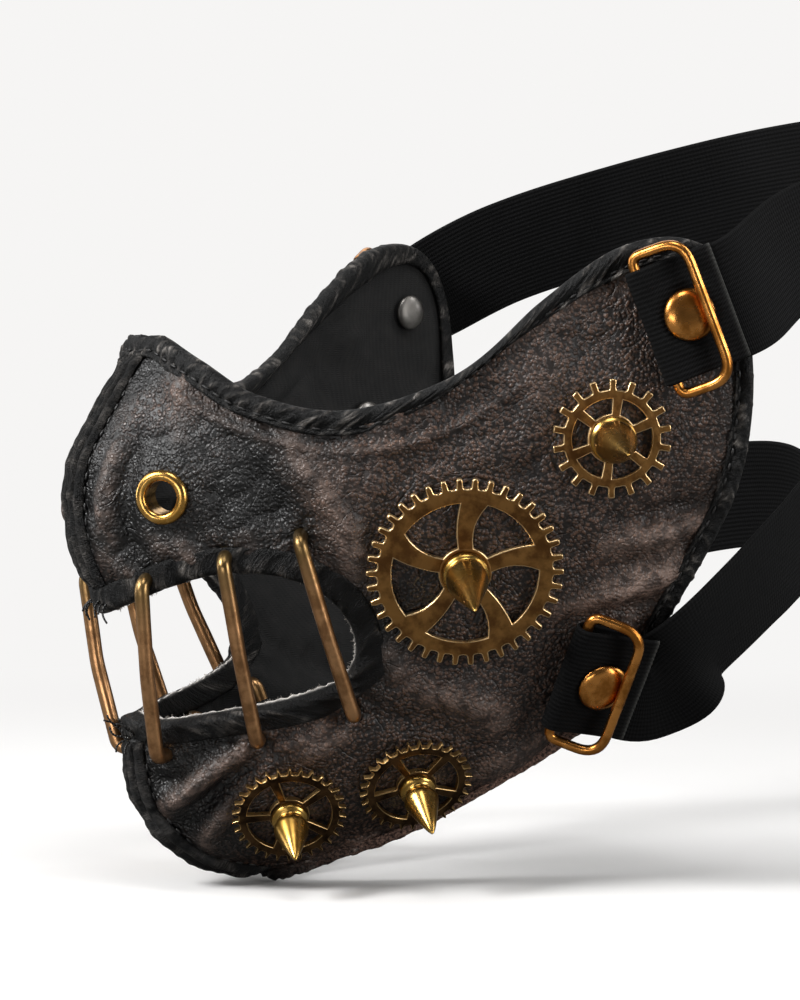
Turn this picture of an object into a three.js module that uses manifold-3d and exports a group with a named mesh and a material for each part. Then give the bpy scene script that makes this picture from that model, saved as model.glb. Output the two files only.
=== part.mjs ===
// Steampunk half mask: two leather cheek panels sewn together down the front, with a barred
// mouth opening, gears, spikes, eyelets and two elastic head straps.
//
// Millimetres, +Z up. The wearer faces -Y and the wearer's left is +X. The origin lies on the
// plane of symmetry, inside the wearer's head, level with the middle of the mouth.

import * as THREE from 'three';
import Module from 'manifold-3d';
import { mergeVertices } from 'three/addons/utils/BufferGeometryUtils.js';

const wasm = await Module();
wasm.setup();

// ---------------------------------------------------------------- driving dimensions

// The skin of the mask. Each section runs from the front seam to the rear line, and bows
// forward and down on the way: y grows with SECTION_BOW and z with SECTION_LIFT.
const SECTION_BOW = 1.85;
const SECTION_LIFT = 1.5;
// Front seam in the plane of symmetry, from the bridge of the nose to under the chin: y, z.
const SEAM_LINE = [
  [-84, 68], [-92.5, 54], [-99.5, 41], [-100, 27], [-94.5, 12],
  [-88, -4], [-87.5, -19], [-84.5, -34], [-72.5, -46], [-53, -51],
];
// Rear line, from beside the ear down to under the jaw: x, y, z.
const REAR_LINE = [
  [71, 12, 100], [76, 26, 72], [74, 27, 46], [65.5, 21.5, 22],
  [54, 12.5, 2], [40, -0.5, -18], [21, -20, -38],
];

// Outlines on the skin, as [how far round from the seam, how far down], both 0 to 1.
// Both run from the upper seam, round the rear, to the lower seam.
const MOUTH_OUTLINE = [
  [0, 0.462], [0.1, 0.453], [0.19, 0.441], [0.28, 0.428], [0.36, 0.421], [0.43, 0.427],
  [0.49, 0.445], [0.535, 0.475], [0.565, 0.515], [0.583, 0.56], [0.592, 0.6],
  [0.582, 0.635], [0.54, 0.652], [0.46, 0.66], [0.33, 0.658], [0.17, 0.653], [0, 0.632],
];
const OUTER_OUTLINE = [
  [0, 0], [0.12, 0.012], [0.28, 0.075], [0.42, 0.155], [0.56, 0.208], [0.69, 0.184],
  [0.8, 0.1], [0.91, 0.052], [0.985, 0.08], [0.985, 0.22], [0.988, 0.4],
  [0.985, 0.58], [1.01, 0.74], [0.995, 0.9], [0.86, 0.99], [0.5, 1], [0, 1],
];

const GAP = 0.3;              // clearance between pieces that touch
const LEATHER = 1.2;          // cheek panel thickness
const LINING = 0.6;           // lining thickness
const TAPE = 1.0;             // thickness of the folded edge strips
const BINDING_WIDTH = 3.9;    // edge strip along the top, seen from one side
const REAR_BINDING_WIDTH = 2.6;
const TRIM_WIDTH = 3.9;       // mouth edge strip at the lips
const TRIM_SWELL = 2.2;       // and how much wider it is at the corner of the mouth
const WELT_WIDTH = 4.8;       // raised strip beside the front seam
const WELT_THICKNESS = 1.2;
const WELT_FOOT = 0.38;       // under face of a raised strip above the leather

const PANEL_COLUMNS = 28;     // steps round a panel, from seam to seam
const PANEL_BANDS = 2;        // steps between the two edge strips
const FACET_SAG = 0.8;        // allowance for the flat facets of the layers

// Gears: tip diameter, tooth depth, count and lead (the share of a pitch by which the teeth
// are turned from the spokes), rim inner diameter, hub diameter, and the spokes with their
// widths at the hub and rim and how far they sweep round on the way.
const GEAR_THICKNESS = 1.4;
const GEAR_FOOT = 0.35;       // under face of a gear above the leather
const GEARS = {
  large: {
    tip: 42.4, depth: 2.2, teeth: 38, tooth: 'square', lead: 0.6, rim: 31.5, hub: 11.5,
    spokes: 5, atHub: 3.4, atRim: 6, sweep: -0.1,
  },
  medium: {
    tip: 25.5, depth: 2.3, teeth: 18, tooth: 'square', lead: 0.6, rim: 17.2, hub: 10.6,
    spokes: 6, atHub: 1.9, atRim: 2.3, sweep: 0,
  },
  small: {
    tip: 25, depth: 1.5, teeth: 30, tooth: 'pointed', lead: 0, rim: 18.6, hub: 8.8,
    spokes: 5, atHub: 1.5, atRim: 2.1, sweep: 0,
  },
};
// The outline of one tooth, as [share of the pitch, 0 at its root and 1 at its tip].
const TEETH = {
  square: [[0, 0], [0.1, 1], [0.44, 1], [0.54, 0]],
  pointed: [[0, 0], [0.28, 1], [0.56, 0]],
};
const HOLE_SIDES = 8;         // flats on a small bore or stem
const WINDOW_STEPS = 4;       // steps along each arc of a gear's windows
// Where each gear sits on the skin, how far it is turned, and which spike it carries.
const GEAR_PLACES = [
  { name: 'large', kind: 'large', at: [0.72, 0.47], turn: 0.91, spike: 'long' },
  { name: 'medium', kind: 'medium', at: [0.862, 0.297], turn: 0.07, spike: 'long' },
  { name: 'small_front', kind: 'small', at: [0.486, 0.846], turn: 0.1, spike: 'short' },
  { name: 'small_rear', kind: 'small', at: [0.76, 0.856], turn: 0.5, spike: 'short' },
];
// Spikes: radius and height pairs up the outside, from the foot of the collar to the point.
const SPIKES = {
  long: [[4.4, 0], [5, 0.5], [5, 2], [4.3, 2.6], [4.6, 3.4], [3.9, 6.4], [0, 22]],
  short: [[3.7, 0], [4, 0.4], [4, 1.5], [2.9, 2.1], [2.9, 3], [3.7, 4.4], [0, 15]],
};
const SCREW_RADIUS = 1.5;
const SCREW_HEAD_RADIUS = 4.2;
const SCREW_HEAD_HEIGHT = 1.1;
const SCREW_REACH = 4.5;      // how far a screw goes into its spike

const EYELET_AT = [0.283, 0.296];
const EYELET_BORE = 3.5;
const EYELET_BARREL = 4.1;
const EYELET_FLANGE = 5.9;
// The rolled lip of the eyelet, from under its rim to its throat: radius, height.
const EYELET_LIP = [
  [4.1, 0.3], [5.7, 0.3], [5.9, 0.9], [5.4, 1.6], [4.5, 1.9], [3.8, 1.5], [3.5, 0.8],
];
const WASHER = 1;

// Mouth bars: where the upper and lower legs pass through the leather.
const BAR_RADIUS = 1.6;
const BAR_BEND = 2.4;         // centre-line radius of the bends
const BAR_CLINCH = 4.5;       // how far a leg is turned over inside
const BAR_PROUD = 3.6;        // centre line of a bar above the leather
const BAR_BOW = 1.2;          // how far the middle of a bar stands proud of its ends
const BARS = [
  { name: 'front', upper: [0.212, 0.42], lower: [0.178, 0.7] },
  { name: 'middle', upper: [0.384, 0.401], lower: [0.432, 0.704] },
  { name: 'rear', upper: [0.506, 0.386], lower: [0.606, 0.69] },
];

// Elastic straps. Each end is folded round the front bar of a wire ring and riveted down.
const STRAP_WIDTH = 25.4;
const STRAP_THICKNESS = 1.1;
const STRAP_END = 9.3;        // cut end behind the rivet
const TAB_FLAT = 13;          // straight part of the strap behind the rivet
const LOOP_STEPS = 26;        // steps round the back of the head
const STRAP_PITCH = 0.07;     // strap tab lifted off the leather towards the rear edge
const STRAP_STANDOFF = 1.5;   // under face above the leather at the rivet
const WIRE_RADIUS = 1.15;
const RING_LENGTH = 31;       // between the centre lines of the wire
const RING_DEPTH = 12;
const RING_FRONT_CORNER = 2.4;
const RING_REAR_CORNER = 5.4;
const RING_BUTT = 0.25;       // from the middle of the front bar to each end of the wire
const BAR_AHEAD = 7.3;        // front bar of the ring, ahead of the rivet
const FLAP_SLOPE = 0.14;      // slope of the folded end down towards its cut edge
const RIVET_RADIUS = 5.6;
const RIVET_DOME = 1.9;
const RIVET_STEM = 1.6;
const CAP_RADIUS = 4.2;       // cap that closes the rivet inside the mask
const CAP_HEIGHT = 1.2;
const CAP_SOCKET = 0.5;       // how far the stem goes into the cap
// Where the rivets are, how far the tab is turned in the skin, and the strap's free route
// round the back of the head, from the left tab to the plane of symmetry.
const STRAPS = [
  {
    name: 'upper', at: [0.938, 0.142], turn: 0.2, across: [0, -0.25, 0.97],
    route: [[70.5, 39, 88], [62, 66, 97], [38, 91, 105], [0, 100, 108]],
  },
  {
    name: 'lower', at: [0.955, 0.706], turn: -0.4, across: [0, -0.2, 0.98],
    route: [[57.5, 24.5, 4], [47, 50, 20], [28, 69, 28], [0, 76, 31]],
  },
];

const COLOURS = {
  leather: { color: '#2f2623', roughness: 0.62, metalness: 0 },
  trim: { color: '#17150f', roughness: 0.55, metalness: 0 },
  lining: { color: '#14110f', roughness: 0.85, metalness: 0 },
  elastic: { color: '#131313', roughness: 0.9, metalness: 0 },
  bronze: { color: '#6d4a26', roughness: 0.42, metalness: 1 },
  brass: { color: '#b98a37', roughness: 0.25, metalness: 1 },
  copper: { color: '#a86f33', roughness: 0.28, metalness: 1 },
  steel: { color: '#7d7a75', roughness: 0.35, metalness: 1 },
};

// ---------------------------------------------------------------- small helpers

const group = new THREE.Group();

function vector([x, y, z]) {
  return new THREE.Vector3(x, y, z);
}

function smoothCurve(points) {
  return new THREE.CatmullRomCurve3(points, false, 'catmullrom', 0.5);
}

// a + b * amount
function offset(point, direction, amount) {
  return point.clone().addScaledVector(direction, amount);
}

// A closed manifold-3d solid from a three.js geometry.
function toSolid(geometry) {
  const bare = geometry.clone();
  bare.deleteAttribute('normal');
  bare.deleteAttribute('uv');
  const merged = mergeVertices(bare, 1e-4);
  return new wasm.Manifold(new wasm.Mesh({
    numProp: 3,
    vertProperties: new Float32Array(merged.attributes.position.array),
    triVerts: new Uint32Array(merged.index.array),
  }));
}

function toGeometry(body) {
  const mesh = body.getMesh();
  const geometry = new THREE.BufferGeometry();
  geometry.setAttribute('position', new THREE.BufferAttribute(mesh.vertProperties, 3));
  geometry.setIndex(new THREE.BufferAttribute(mesh.triVerts, 1));
  return geometry;
}

function drilled(geometry, drills) {
  let body = toSolid(geometry);
  for (const drill of drills) {
    body = body.subtract(toSolid(drill));
  }
  return toGeometry(body);
}

// The mirror image across the plane of symmetry, with its faces still pointing out.
function mirrored(geometry) {
  const twin = (geometry.index ? geometry : mergeVertices(geometry)).clone();
  twin.scale(-1, 1, 1);
  const corners = twin.index.array;
  for (let i = 0; i < corners.length; i += 3) {
    [corners[i], corners[i + 1]] = [corners[i + 1], corners[i]];
  }
  return twin;
}

function addPiece(name, geometry, finish) {
  geometry.computeVertexNormals();
  const mesh = new THREE.Mesh(geometry, new THREE.MeshStandardMaterial(COLOURS[finish]));
  mesh.name = name;
  group.add(mesh);
}

function polar(radius, angle) {
  return new THREE.Vector2(radius * Math.cos(angle), radius * Math.sin(angle));
}

// Points along an arc round the origin.
function arc(radius, from, to, steps) {
  const points = [];
  for (let i = 0; i <= steps; i += 1) {
    points.push(polar(radius, from + ((to - from) * i) / steps));
  }
  return points;
}

// The same piece on both sides of the face.
function addPair(name, geometry, finish) {
  addPiece(`left_${name}`, geometry, finish);
  addPiece(`right_${name}`, mirrored(geometry), finish);
}

// Turns a geometry built round +Z at the origin so that it stands on a point along an axis.
function stand(geometry, point, axis, turn = 0) {
  const spun = new THREE.Quaternion().setFromAxisAngle(new THREE.Vector3(0, 0, 1), turn);
  const tilt = new THREE.Quaternion().setFromUnitVectors(new THREE.Vector3(0, 0, 1), axis);
  geometry.applyQuaternion(tilt.multiply(spun));
  geometry.translate(point.x, point.y, point.z);
  return geometry;
}

// A solid of revolution round +Z from [radius, height] pairs.
function turned(profile, segments) {
  const points = profile.map(([radius, height]) => new THREE.Vector2(radius, height));
  return new THREE.LatheGeometry(points, segments).rotateX(Math.PI / 2);
}

// A prism round +Z between two heights, for drilling: its flats clear the given radius.
function drillBit(radius, bottom, top, sides = 6) {
  const corner = radius / Math.cos(Math.PI / sides);
  return turned([[0, bottom], [corner, bottom], [corner, top], [0, top]], sides);
}

// A box's squares are split along one diagonal on top and the other one below. This turns
// the lower ones, so that a slab's two faces, and slabs laid on each other, stay parallel.
function matchDiagonals(box) {
  const corners = box.index.array;
  const below = box.groups[5];
  for (let i = below.start; i < below.start + below.count; i += 6) {
    const [a, b, d, , c] = corners.subarray(i, i + 6);
    corners.set([a, b, c, a, c, d], i);
  }
}

// A box bent into shape: place(column, row, side) says where each of its corners goes.
function bentSlab(columns, rows, place) {
  const slab = new THREE.BoxGeometry(1, 1, 1, columns, rows, 1);
  const spots = slab.attributes.position;
  for (let i = 0; i < spots.count; i += 1) {
    const column = Math.round((spots.getX(i) + 0.5) * columns);
    const row = Math.round((spots.getY(i) + 0.5) * rows);
    const spot = place(column, row, spots.getZ(i) + 0.5);
    spots.setXYZ(i, spot.x, spot.y, spot.z);
  }
  matchDiagonals(slab);
  slab.deleteAttribute('normal');
  slab.deleteAttribute('uv');
  return mergeVertices(slab, 1e-4);
}

// A wire bent from straight and curved pieces. Each straight piece takes one step along the
// wire and each bend takes several.
class Wire extends THREE.CurvePath {
  constructor(bendSteps) {
    super();
    this.bendSteps = bendSteps;
  }

  stepsOn(piece) {
    return piece instanceof THREE.LineCurve3 ? 1 : this.bendSteps;
  }

  countSteps() {
    return this.curves.reduce((sum, piece) => sum + this.stepsOn(piece), 0);
  }

  locate(u) {
    let left = Math.min(u, 0.9999999) * this.countSteps();
    for (const piece of this.curves) {
      if (left < this.stepsOn(piece)) return [piece, left / this.stepsOn(piece)];
      left -= this.stepsOn(piece);
    }
    return [this.curves.at(-1), 1];
  }

  getPointAt(u) {
    const [piece, along] = this.locate(u);
    return piece.getPoint(along);
  }

  getTangentAt(u) {
    const [piece, along] = this.locate(u);
    return piece.getTangent(along);
  }
}

// The wire through a row of corners, with every inner corner rounded: bendAt(i) says how far
// from corner i its bend starts.
function roundedWire(corners, bendAt, bendSteps) {
  const wire = new Wire(bendSteps);
  let from = corners[0];
  for (let i = 1; i < corners.length - 1; i += 1) {
    const back = corners[i - 1].clone().sub(corners[i]).normalize();
    const on = corners[i + 1].clone().sub(corners[i]).normalize();
    const start = offset(corners[i], back, bendAt(i));
    const end = offset(corners[i], on, bendAt(i));
    wire.add(new THREE.LineCurve3(from, start));
    wire.add(new THREE.QuadraticBezierCurve3(start, corners[i], end));
    from = end;
  }
  wire.add(new THREE.LineCurve3(from, corners.at(-1)));
  return wire;
}

function wireSolid(wire, radius) {
  const section = new THREE.Shape(arc(radius, 0, 2 * Math.PI, HOLE_SIDES).slice(1));
  return new THREE.ExtrudeGeometry(section, {
    steps: wire.countSteps(), extrudePath: wire, bevelEnabled: false,
  });
}

// ---------------------------------------------------------------- the skin

const seamLine = smoothCurve(SEAM_LINE.map(([y, z]) => new THREE.Vector3(0, y, z)));
const rearLine = smoothCurve(REAR_LINE.map(vector));
const mouthLine = smoothCurve(MOUTH_OUTLINE.map(([s, v]) => new THREE.Vector3(s, v, 0)));
const outerLine = smoothCurve(OUTER_OUTLINE.map(([s, v]) => new THREE.Vector3(s, v, 0)));

// The point on the outside of the left cheek, round from the seam and down from the top.
function skinPoint(round, down) {
  const level = THREE.MathUtils.clamp(down, 0, 1);
  const front = seamLine.getPoint(level);
  const back = rearLine.getPoint(level);
  const s = Math.max(round, GAP / 2 / back.x);
  return new THREE.Vector3(
    back.x * s,
    front.y + (back.y - front.y) * s ** SECTION_BOW,
    front.z + (back.z - front.z) * s ** SECTION_LIFT,
  );
}

// The point, the outward normal, and the directions towards the rear and up in the skin.
function skinFrame(round, down) {
  const step = 0.002;
  const point = skinPoint(round, down);
  const besideSeam = Math.max(round, 0.01);
  const rearward = skinPoint(besideSeam + step, down).sub(skinPoint(besideSeam - step, down));
  const downward = skinPoint(round, down + step).sub(skinPoint(round, down - step));
  const normal = downward.cross(rearward).normalize();
  if (round < 1e-6) normal.setX(0).normalize();
  rearward.normalize();
  const upward = normal.clone().cross(rearward);
  return { point, normal, rearward, upward };
}

// A place between the mouth edge (across 0) and the outer edge (across 1).
function panelFrame(along, across) {
  const inner = mouthLine.getPoint(along);
  const outer = outerLine.getPoint(along);
  const spot = inner.lerp(outer, across);
  return skinFrame(spot.x, spot.y);
}

// The share of the way across a panel that a strip of a given width takes at one edge.
function stripShare(along, edge, width) {
  const here = panelFrame(along, edge).point;
  const far = panelFrame(along, 1 - edge).point;
  const ahead = panelFrame(Math.min(along + 0.01, 1), edge).point;
  const behind = panelFrame(Math.max(along - 0.01, 0), edge).point;
  const slant = ahead.sub(behind).normalize().cross(far.clone().sub(here).normalize()).length();
  return width / (here.distanceTo(far) * Math.max(slant, 0.5));
}

function trimWidth(along) {
  return TRIM_WIDTH + TRIM_SWELL * Math.sin(Math.PI * along) ** 4;
}

function bindingWidth(along) {
  const pastTop = THREE.MathUtils.smoothstep(along, 0.4, 0.55);
  return THREE.MathUtils.lerp(BINDING_WIDTH, REAR_BINDING_WIDTH, pastTop);
}

// How deep a flat piece of a given radius sits inside the mask, so that its rim clears the
// lining, which curves away from the tangent plane.
function insideSeat(at, radius) {
  const { point, normal } = skinFrame(...at);
  const step = 0.01;
  const perRound = skinPoint(at[0] + step, at[1]).distanceTo(point) / step;
  const perDown = skinPoint(at[0], at[1] + step).distanceTo(point) / step;
  const drops = arc(radius, 0, 2 * Math.PI, 12).map(({ x, y }) => (
    point.clone().sub(skinPoint(at[0] + x / perRound, at[1] + y / perDown)).dot(normal)
  ));
  return INSIDE - FACET_SAG - Math.max(0, ...drops);
}

// The stations across a panel: the two edge strips, and even bands between them.
function stations(along) {
  const inner = stripShare(along, 0, trimWidth(along));
  const outer = 1 - stripShare(along, 1, bindingWidth(along));
  const between = [];
  for (let i = 0; i <= PANEL_BANDS; i += 1) {
    between.push(inner + ((outer - inner) * i) / PANEL_BANDS);
  }
  return [0, ...between, 1];
}

// A layer of the panel between two depths, measured along the outward normal.
function panelLayer(bottom, top) {
  const rows = PANEL_BANDS + 2;
  return bentSlab(PANEL_COLUMNS, rows, (column, row, side) => {
    const along = column / PANEL_COLUMNS;
    const { point, normal } = panelFrame(along, stations(along)[row]);
    return offset(point, normal, side ? top : bottom);
  });
}

// The strip folded over one edge of the panel: under the edge at 0 it faces the mouth,
// at 1 it faces away from it. Its section is given as [off the edge, along the normal].
const INSIDE = -LEATHER - GAP - LINING - GAP;
const FOLD_MIDDLE = (GAP + INSIDE) / 2;
const FOLD_INNER = [[0, GAP], [GAP, GAP], [GAP, FOLD_MIDDLE], [GAP, INSIDE], [0, INSIDE]];
const FOLD_OUTER = [
  [0, GAP + TAPE], [0.7, GAP + TAPE], [GAP + TAPE, FOLD_MIDDLE], [0.7, INSIDE - TAPE],
  [0, INSIDE - TAPE],
];

function foldedStrip(edge, widthAt) {
  return bentSlab(PANEL_COLUMNS, FOLD_INNER.length - 1, (column, row, side) => {
    const along = column / PANEL_COLUMNS;
    const section = side ? FOLD_OUTER : FOLD_INNER;
    // The strip's rows run from its outer flap, over the edge, to its inner flap.
    const station = edge ? row : FOLD_INNER.length - 1 - row;
    const [off, height] = section[station];
    const flap = station === 0 || station === FOLD_INNER.length - 1;
    const share = flap ? stripShare(along, edge, widthAt(along)) : 0;
    const { point, normal } = panelFrame(along, edge ? 1 - share : share);
    const ahead = panelFrame(Math.min(along + 0.005, 1), edge).point;
    const behind = panelFrame(Math.max(along - 0.005, 0), edge).point;
    const outward = normal.clone().cross(ahead.sub(behind)).normalize();
    if (column === 0 || column === PANEL_COLUMNS) outward.setX(0).normalize();
    return offset(offset(point, outward, edge ? off : -off), normal, height);
  });
}

// ---------------------------------------------------------------- leather

// A raised strip beside the seam, between two levels down the face.
function seamWelt(topLevel, bottomLevel, steps) {
  return bentSlab(1, steps, (column, row, side) => {
    const down = bottomLevel + ((topLevel - bottomLevel) * row) / steps;
    const round = column ? WELT_WIDTH / rearLine.getPoint(down).x : 0;
    const { point, normal } = skinFrame(round, down);
    return offset(point, normal, WELT_FOOT + side * WELT_THICKNESS);
  });
}

// Cuts for everything that passes through the leather on the left side.
function leatherDrills() {
  const drills = [];
  for (const { at } of GEAR_PLACES) {
    const { point, normal } = skinFrame(...at);
    drills.push(stand(drillBit(SCREW_RADIUS + GAP, -6, 6), point, normal));
  }
  for (const { upper, lower } of BARS) {
    for (const at of [upper, lower]) {
      const { point, normal } = skinFrame(...at);
      drills.push(stand(drillBit(BAR_RADIUS + GAP, -6, 6), point, normal));
    }
  }
  for (const strap of STRAPS) {
    const tab = strapTab(strap);
    drills.push(stand(drillBit(RIVET_STEM + GAP, -12, 8), tab.rivet, tab.rivetAxis));
  }
  const eyelet = skinFrame(...EYELET_AT);
  drills.push(stand(drillBit(EYELET_BARREL + GAP, -6, 6, 12), eyelet.point, eyelet.normal));
  return drills;
}

function addLeather() {
  const drills = leatherDrills();
  addPair('cheek_panel', drilled(panelLayer(-LEATHER, 0), drills), 'leather');
  const liningTop = -LEATHER - GAP;
  addPair('cheek_lining', drilled(panelLayer(liningTop - LINING, liningTop), drills), 'lining');
  addPair('edge_binding', foldedStrip(1, bindingWidth), 'trim');
  addPair('mouth_trim', drilled(foldedStrip(0, trimWidth), drills), 'trim');
  addPair('nose_welt', seamWelt(0.034, 0.418, 9), 'trim');
  addPair('chin_welt', seamWelt(0.68, 0.966, 9), 'trim');
}

// ---------------------------------------------------------------- gears and spikes

function gearShape(gear, bore) {
  const { tip, depth, teeth, tooth, lead, rim, hub, spokes, atHub, atRim, sweep } = gear;
  const root = tip / 2 - depth;
  const rimLine = [];
  for (let i = 0; i < teeth; i += 1) {
    for (const [share, rise] of TEETH[tooth]) {
      rimLine.push(polar(root + depth * rise, (2 * Math.PI * (i + lead + share)) / teeth));
    }
  }
  const shape = new THREE.Shape(rimLine);
  const half = Math.PI / spokes;
  const inHub = half - Math.asin(atHub / hub);
  const inRim = half - Math.asin(atRim / rim);
  for (let i = 0; i < spokes; i += 1) {
    const middle = 2 * half * i;
    const far = middle + sweep;
    shape.holes.push(new THREE.Path([
      ...arc(rim / 2, far - inRim, far + inRim, WINDOW_STEPS),
      ...arc(hub / 2, middle + inHub, middle - inHub, WINDOW_STEPS),
    ]));
  }
  shape.holes.push(new THREE.Path(arc(bore, 0, -2 * Math.PI, HOLE_SIDES).slice(1)));
  return shape;
}

function gearSolid(kind) {
  const shape = gearShape(GEARS[kind], SCREW_RADIUS + GAP);
  return new THREE.ExtrudeGeometry(shape, { depth: GEAR_THICKNESS, bevelEnabled: false });
}

function spikeSolid(kind) {
  const bore = SCREW_RADIUS + GAP;
  const depth = SCREW_REACH + GAP;
  return turned([[0, depth], [bore, depth], [bore, 0], ...SPIKES[kind]], 10);
}

function screwSolid(shank) {
  return turned([
    [0, 0], [SCREW_HEAD_RADIUS, 0], [SCREW_HEAD_RADIUS, SCREW_HEAD_HEIGHT],
    [SCREW_RADIUS, SCREW_HEAD_HEIGHT], [SCREW_RADIUS, SCREW_HEAD_HEIGHT + shank],
    [0, SCREW_HEAD_HEIGHT + shank],
  ], HOLE_SIDES);
}

function addGears() {
  const spikeFoot = GEAR_FOOT + GEAR_THICKNESS + GAP;
  for (const { name, kind, at, turn, spike } of GEAR_PLACES) {
    const { point, normal } = skinFrame(...at);
    const seat = offset(point, normal, GEAR_FOOT);
    const spikeSeat = offset(point, normal, spikeFoot);
    const headTop = insideSeat(at, SCREW_HEAD_RADIUS);
    const screwSeat = offset(point, normal, headTop - SCREW_HEAD_HEIGHT);
    const shank = spikeFoot + SCREW_REACH - headTop;
    addPair(`${name}_gear`, stand(gearSolid(kind), seat, normal, turn), 'bronze');
    addPair(`${name}_spike`, stand(spikeSolid(spike), spikeSeat, normal), 'brass');
    addPair(`${name}_screw`, stand(screwSolid(shank), screwSeat, normal), 'steel');
  }
}

// ---------------------------------------------------------------- eyelets and bars

function addEyelets() {
  const { point, normal } = skinFrame(...EYELET_AT);
  const washerTop = insideSeat(EYELET_AT, EYELET_FLANGE) - GAP;
  const bottom = washerTop - WASHER;
  const eyelet = turned([
    [EYELET_BORE, bottom], [EYELET_BARREL, bottom], ...EYELET_LIP, [EYELET_BORE, bottom],
  ], 14);
  const inner = EYELET_BARREL + GAP;
  const washer = turned([
    [inner, bottom], [EYELET_FLANGE, bottom], [EYELET_FLANGE, washerTop], [inner, washerTop],
    [inner, bottom],
  ], 12);
  addPair('eyelet', stand(eyelet, point, normal), 'brass');
  addPair('eyelet_washer', stand(washer, point, normal), 'brass');
}

function barSolid({ upper, lower }) {
  const above = skinFrame(...upper);
  const below = skinFrame(...lower);
  const sunk = INSIDE - TAPE - GAP - BAR_RADIUS;
  const top = offset(above.point, above.normal, BAR_PROUD);
  const foot = offset(below.point, below.normal, BAR_PROUD);
  const middle = offset(top.clone().lerp(foot, 0.5), above.normal, BAR_BOW);
  const innerTop = offset(above.point, above.normal, sunk);
  const innerFoot = offset(below.point, below.normal, sunk);
  const corners = [
    offset(innerTop, above.upward, BAR_CLINCH), innerTop, top, middle,
    foot, innerFoot, offset(innerFoot, below.upward, -BAR_CLINCH),
  ];
  return wireSolid(roundedWire(corners, () => BAR_BEND, 2), BAR_RADIUS);
}

function addBars() {
  for (const bar of BARS) {
    addPair(`${bar.name}_mouth_bar`, barSolid(bar), 'bronze');
  }
}

// ---------------------------------------------------------------- straps and rings

// The flat tab where a strap end is riveted on. Along it, a grows towards the rear and h
// away from the leather, from the rivet's place on the strap's under face.
function strapTab({ at, turn }) {
  const { point, normal, rearward, upward } = skinFrame(...at);
  const flat = rearward.clone().multiplyScalar(Math.cos(turn));
  flat.addScaledVector(upward, Math.sin(turn));
  const across = normal.clone().cross(flat).normalize();
  const rear = flat.clone().applyAxisAngle(across, -STRAP_PITCH);
  const out = rear.clone().cross(across);
  const origin = offset(point, normal, STRAP_STANDOFF);
  const place = (a, h) => offset(offset(origin, rear, a), out, h);

  const half = STRAP_THICKNESS / 2;
  const fold = WIRE_RADIUS + GAP + half;
  const barHeight = half + fold;
  const flapPeak = barHeight + fold / Math.cos(FLAP_SLOPE);
  const flapTop = (a) => flapPeak - (a + BAR_AHEAD) * Math.tan(FLAP_SLOPE);
  const rivetAxis = out.clone().applyAxisAngle(across, FLAP_SLOPE);
  const rivet = place(0, flapTop(0));
  return { place, across, rear, out, half, fold, barHeight, flapTop, rivet, rivetAxis };
}

// Centre line of the strap from its cut end, round the ring's bar, to past the rivet.
function tabRoute(tab) {
  const route = [];
  for (const a of [STRAP_END, 4.5, 0, -3.5]) {
    route.push(tab.place(a, tab.flapTop(a)));
  }
  const steps = 6;
  for (let i = 0; i <= steps; i += 1) {
    const angle = Math.PI / 2 - FLAP_SLOPE + ((Math.PI + FLAP_SLOPE) * i) / steps;
    const a = -BAR_AHEAD + tab.fold * Math.cos(angle);
    route.push(tab.place(a, tab.barHeight + tab.fold * Math.sin(angle)));
  }
  route.push(tab.place(0, tab.half));
  return route;
}

function flip(point) {
  return new THREE.Vector3(-point.x, point.y, point.z);
}

// The whole strap: tab, round the back of the head, and the other tab.
function strapSolid(strap) {
  const tab = strapTab(strap);
  const tabStart = tab.place(0, tab.half);
  const tabEnd = tab.place(TAB_FLAT, tab.half);
  const route = strap.route.map(vector);
  const rest = route.slice(0, -1).reverse().map(flip);
  const loop = smoothCurve([
    tabStart, tabEnd, ...route, ...rest, flip(tabEnd), flip(tabStart),
  ]);
  const free = [];
  for (let i = 1; i < LOOP_STEPS; i += 1) {
    free.push(loop.getPoint(i / LOOP_STEPS));
  }
  const start = tabRoute(tab);
  const spots = [...start, ...free, ...start.map(flip).reverse()];
  const lastStart = start.length - 1;
  const firstEnd = spots.length - start.length;

  const rearAcross = vector(strap.across);
  const rightAcross = flip(tab.across);
  const acrossAt = (index) => {
    const share = THREE.MathUtils.clamp((index - lastStart) / (firstEnd - lastStart), 0, 1);
    if (share < 0.5) return tab.across.clone().lerp(rearAcross, smooth(share * 2));
    return rearAcross.clone().lerp(rightAcross, smooth(share * 2 - 1));
  };
  return bentSlab(spots.length - 1, 1, (column, row, side) => {
    const ahead = spots[Math.min(column + 1, spots.length - 1)];
    const behind = spots[Math.max(column - 1, 0)];
    const tangent = ahead.clone().sub(behind).normalize();
    const across = acrossAt(column);
    across.addScaledVector(tangent, -across.dot(tangent)).normalize();
    const thick = tangent.clone().cross(across);
    const spot = offset(spots[column], across, (row - 0.5) * STRAP_WIDTH);
    return offset(spot, thick, (side - 0.5) * STRAP_THICKNESS);
  });
}

function smooth(share) {
  return share * share * (3 - 2 * share);
}

// How far the ring is lifted from the line of the strap when its rear bar rests on the rivet.
function ringLift() {
  const nearest = RING_DEPTH - BAR_AHEAD - WIRE_RADIUS;
  const domeThere = RIVET_DOME * Math.sqrt(1 - (nearest / RIVET_RADIUS) ** 2);
  const above = GAP + domeThere + GAP + WIRE_RADIUS;
  const fold = WIRE_RADIUS + GAP + STRAP_THICKNESS;
  return Math.asin((above + fold) / RING_DEPTH);
}

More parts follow.
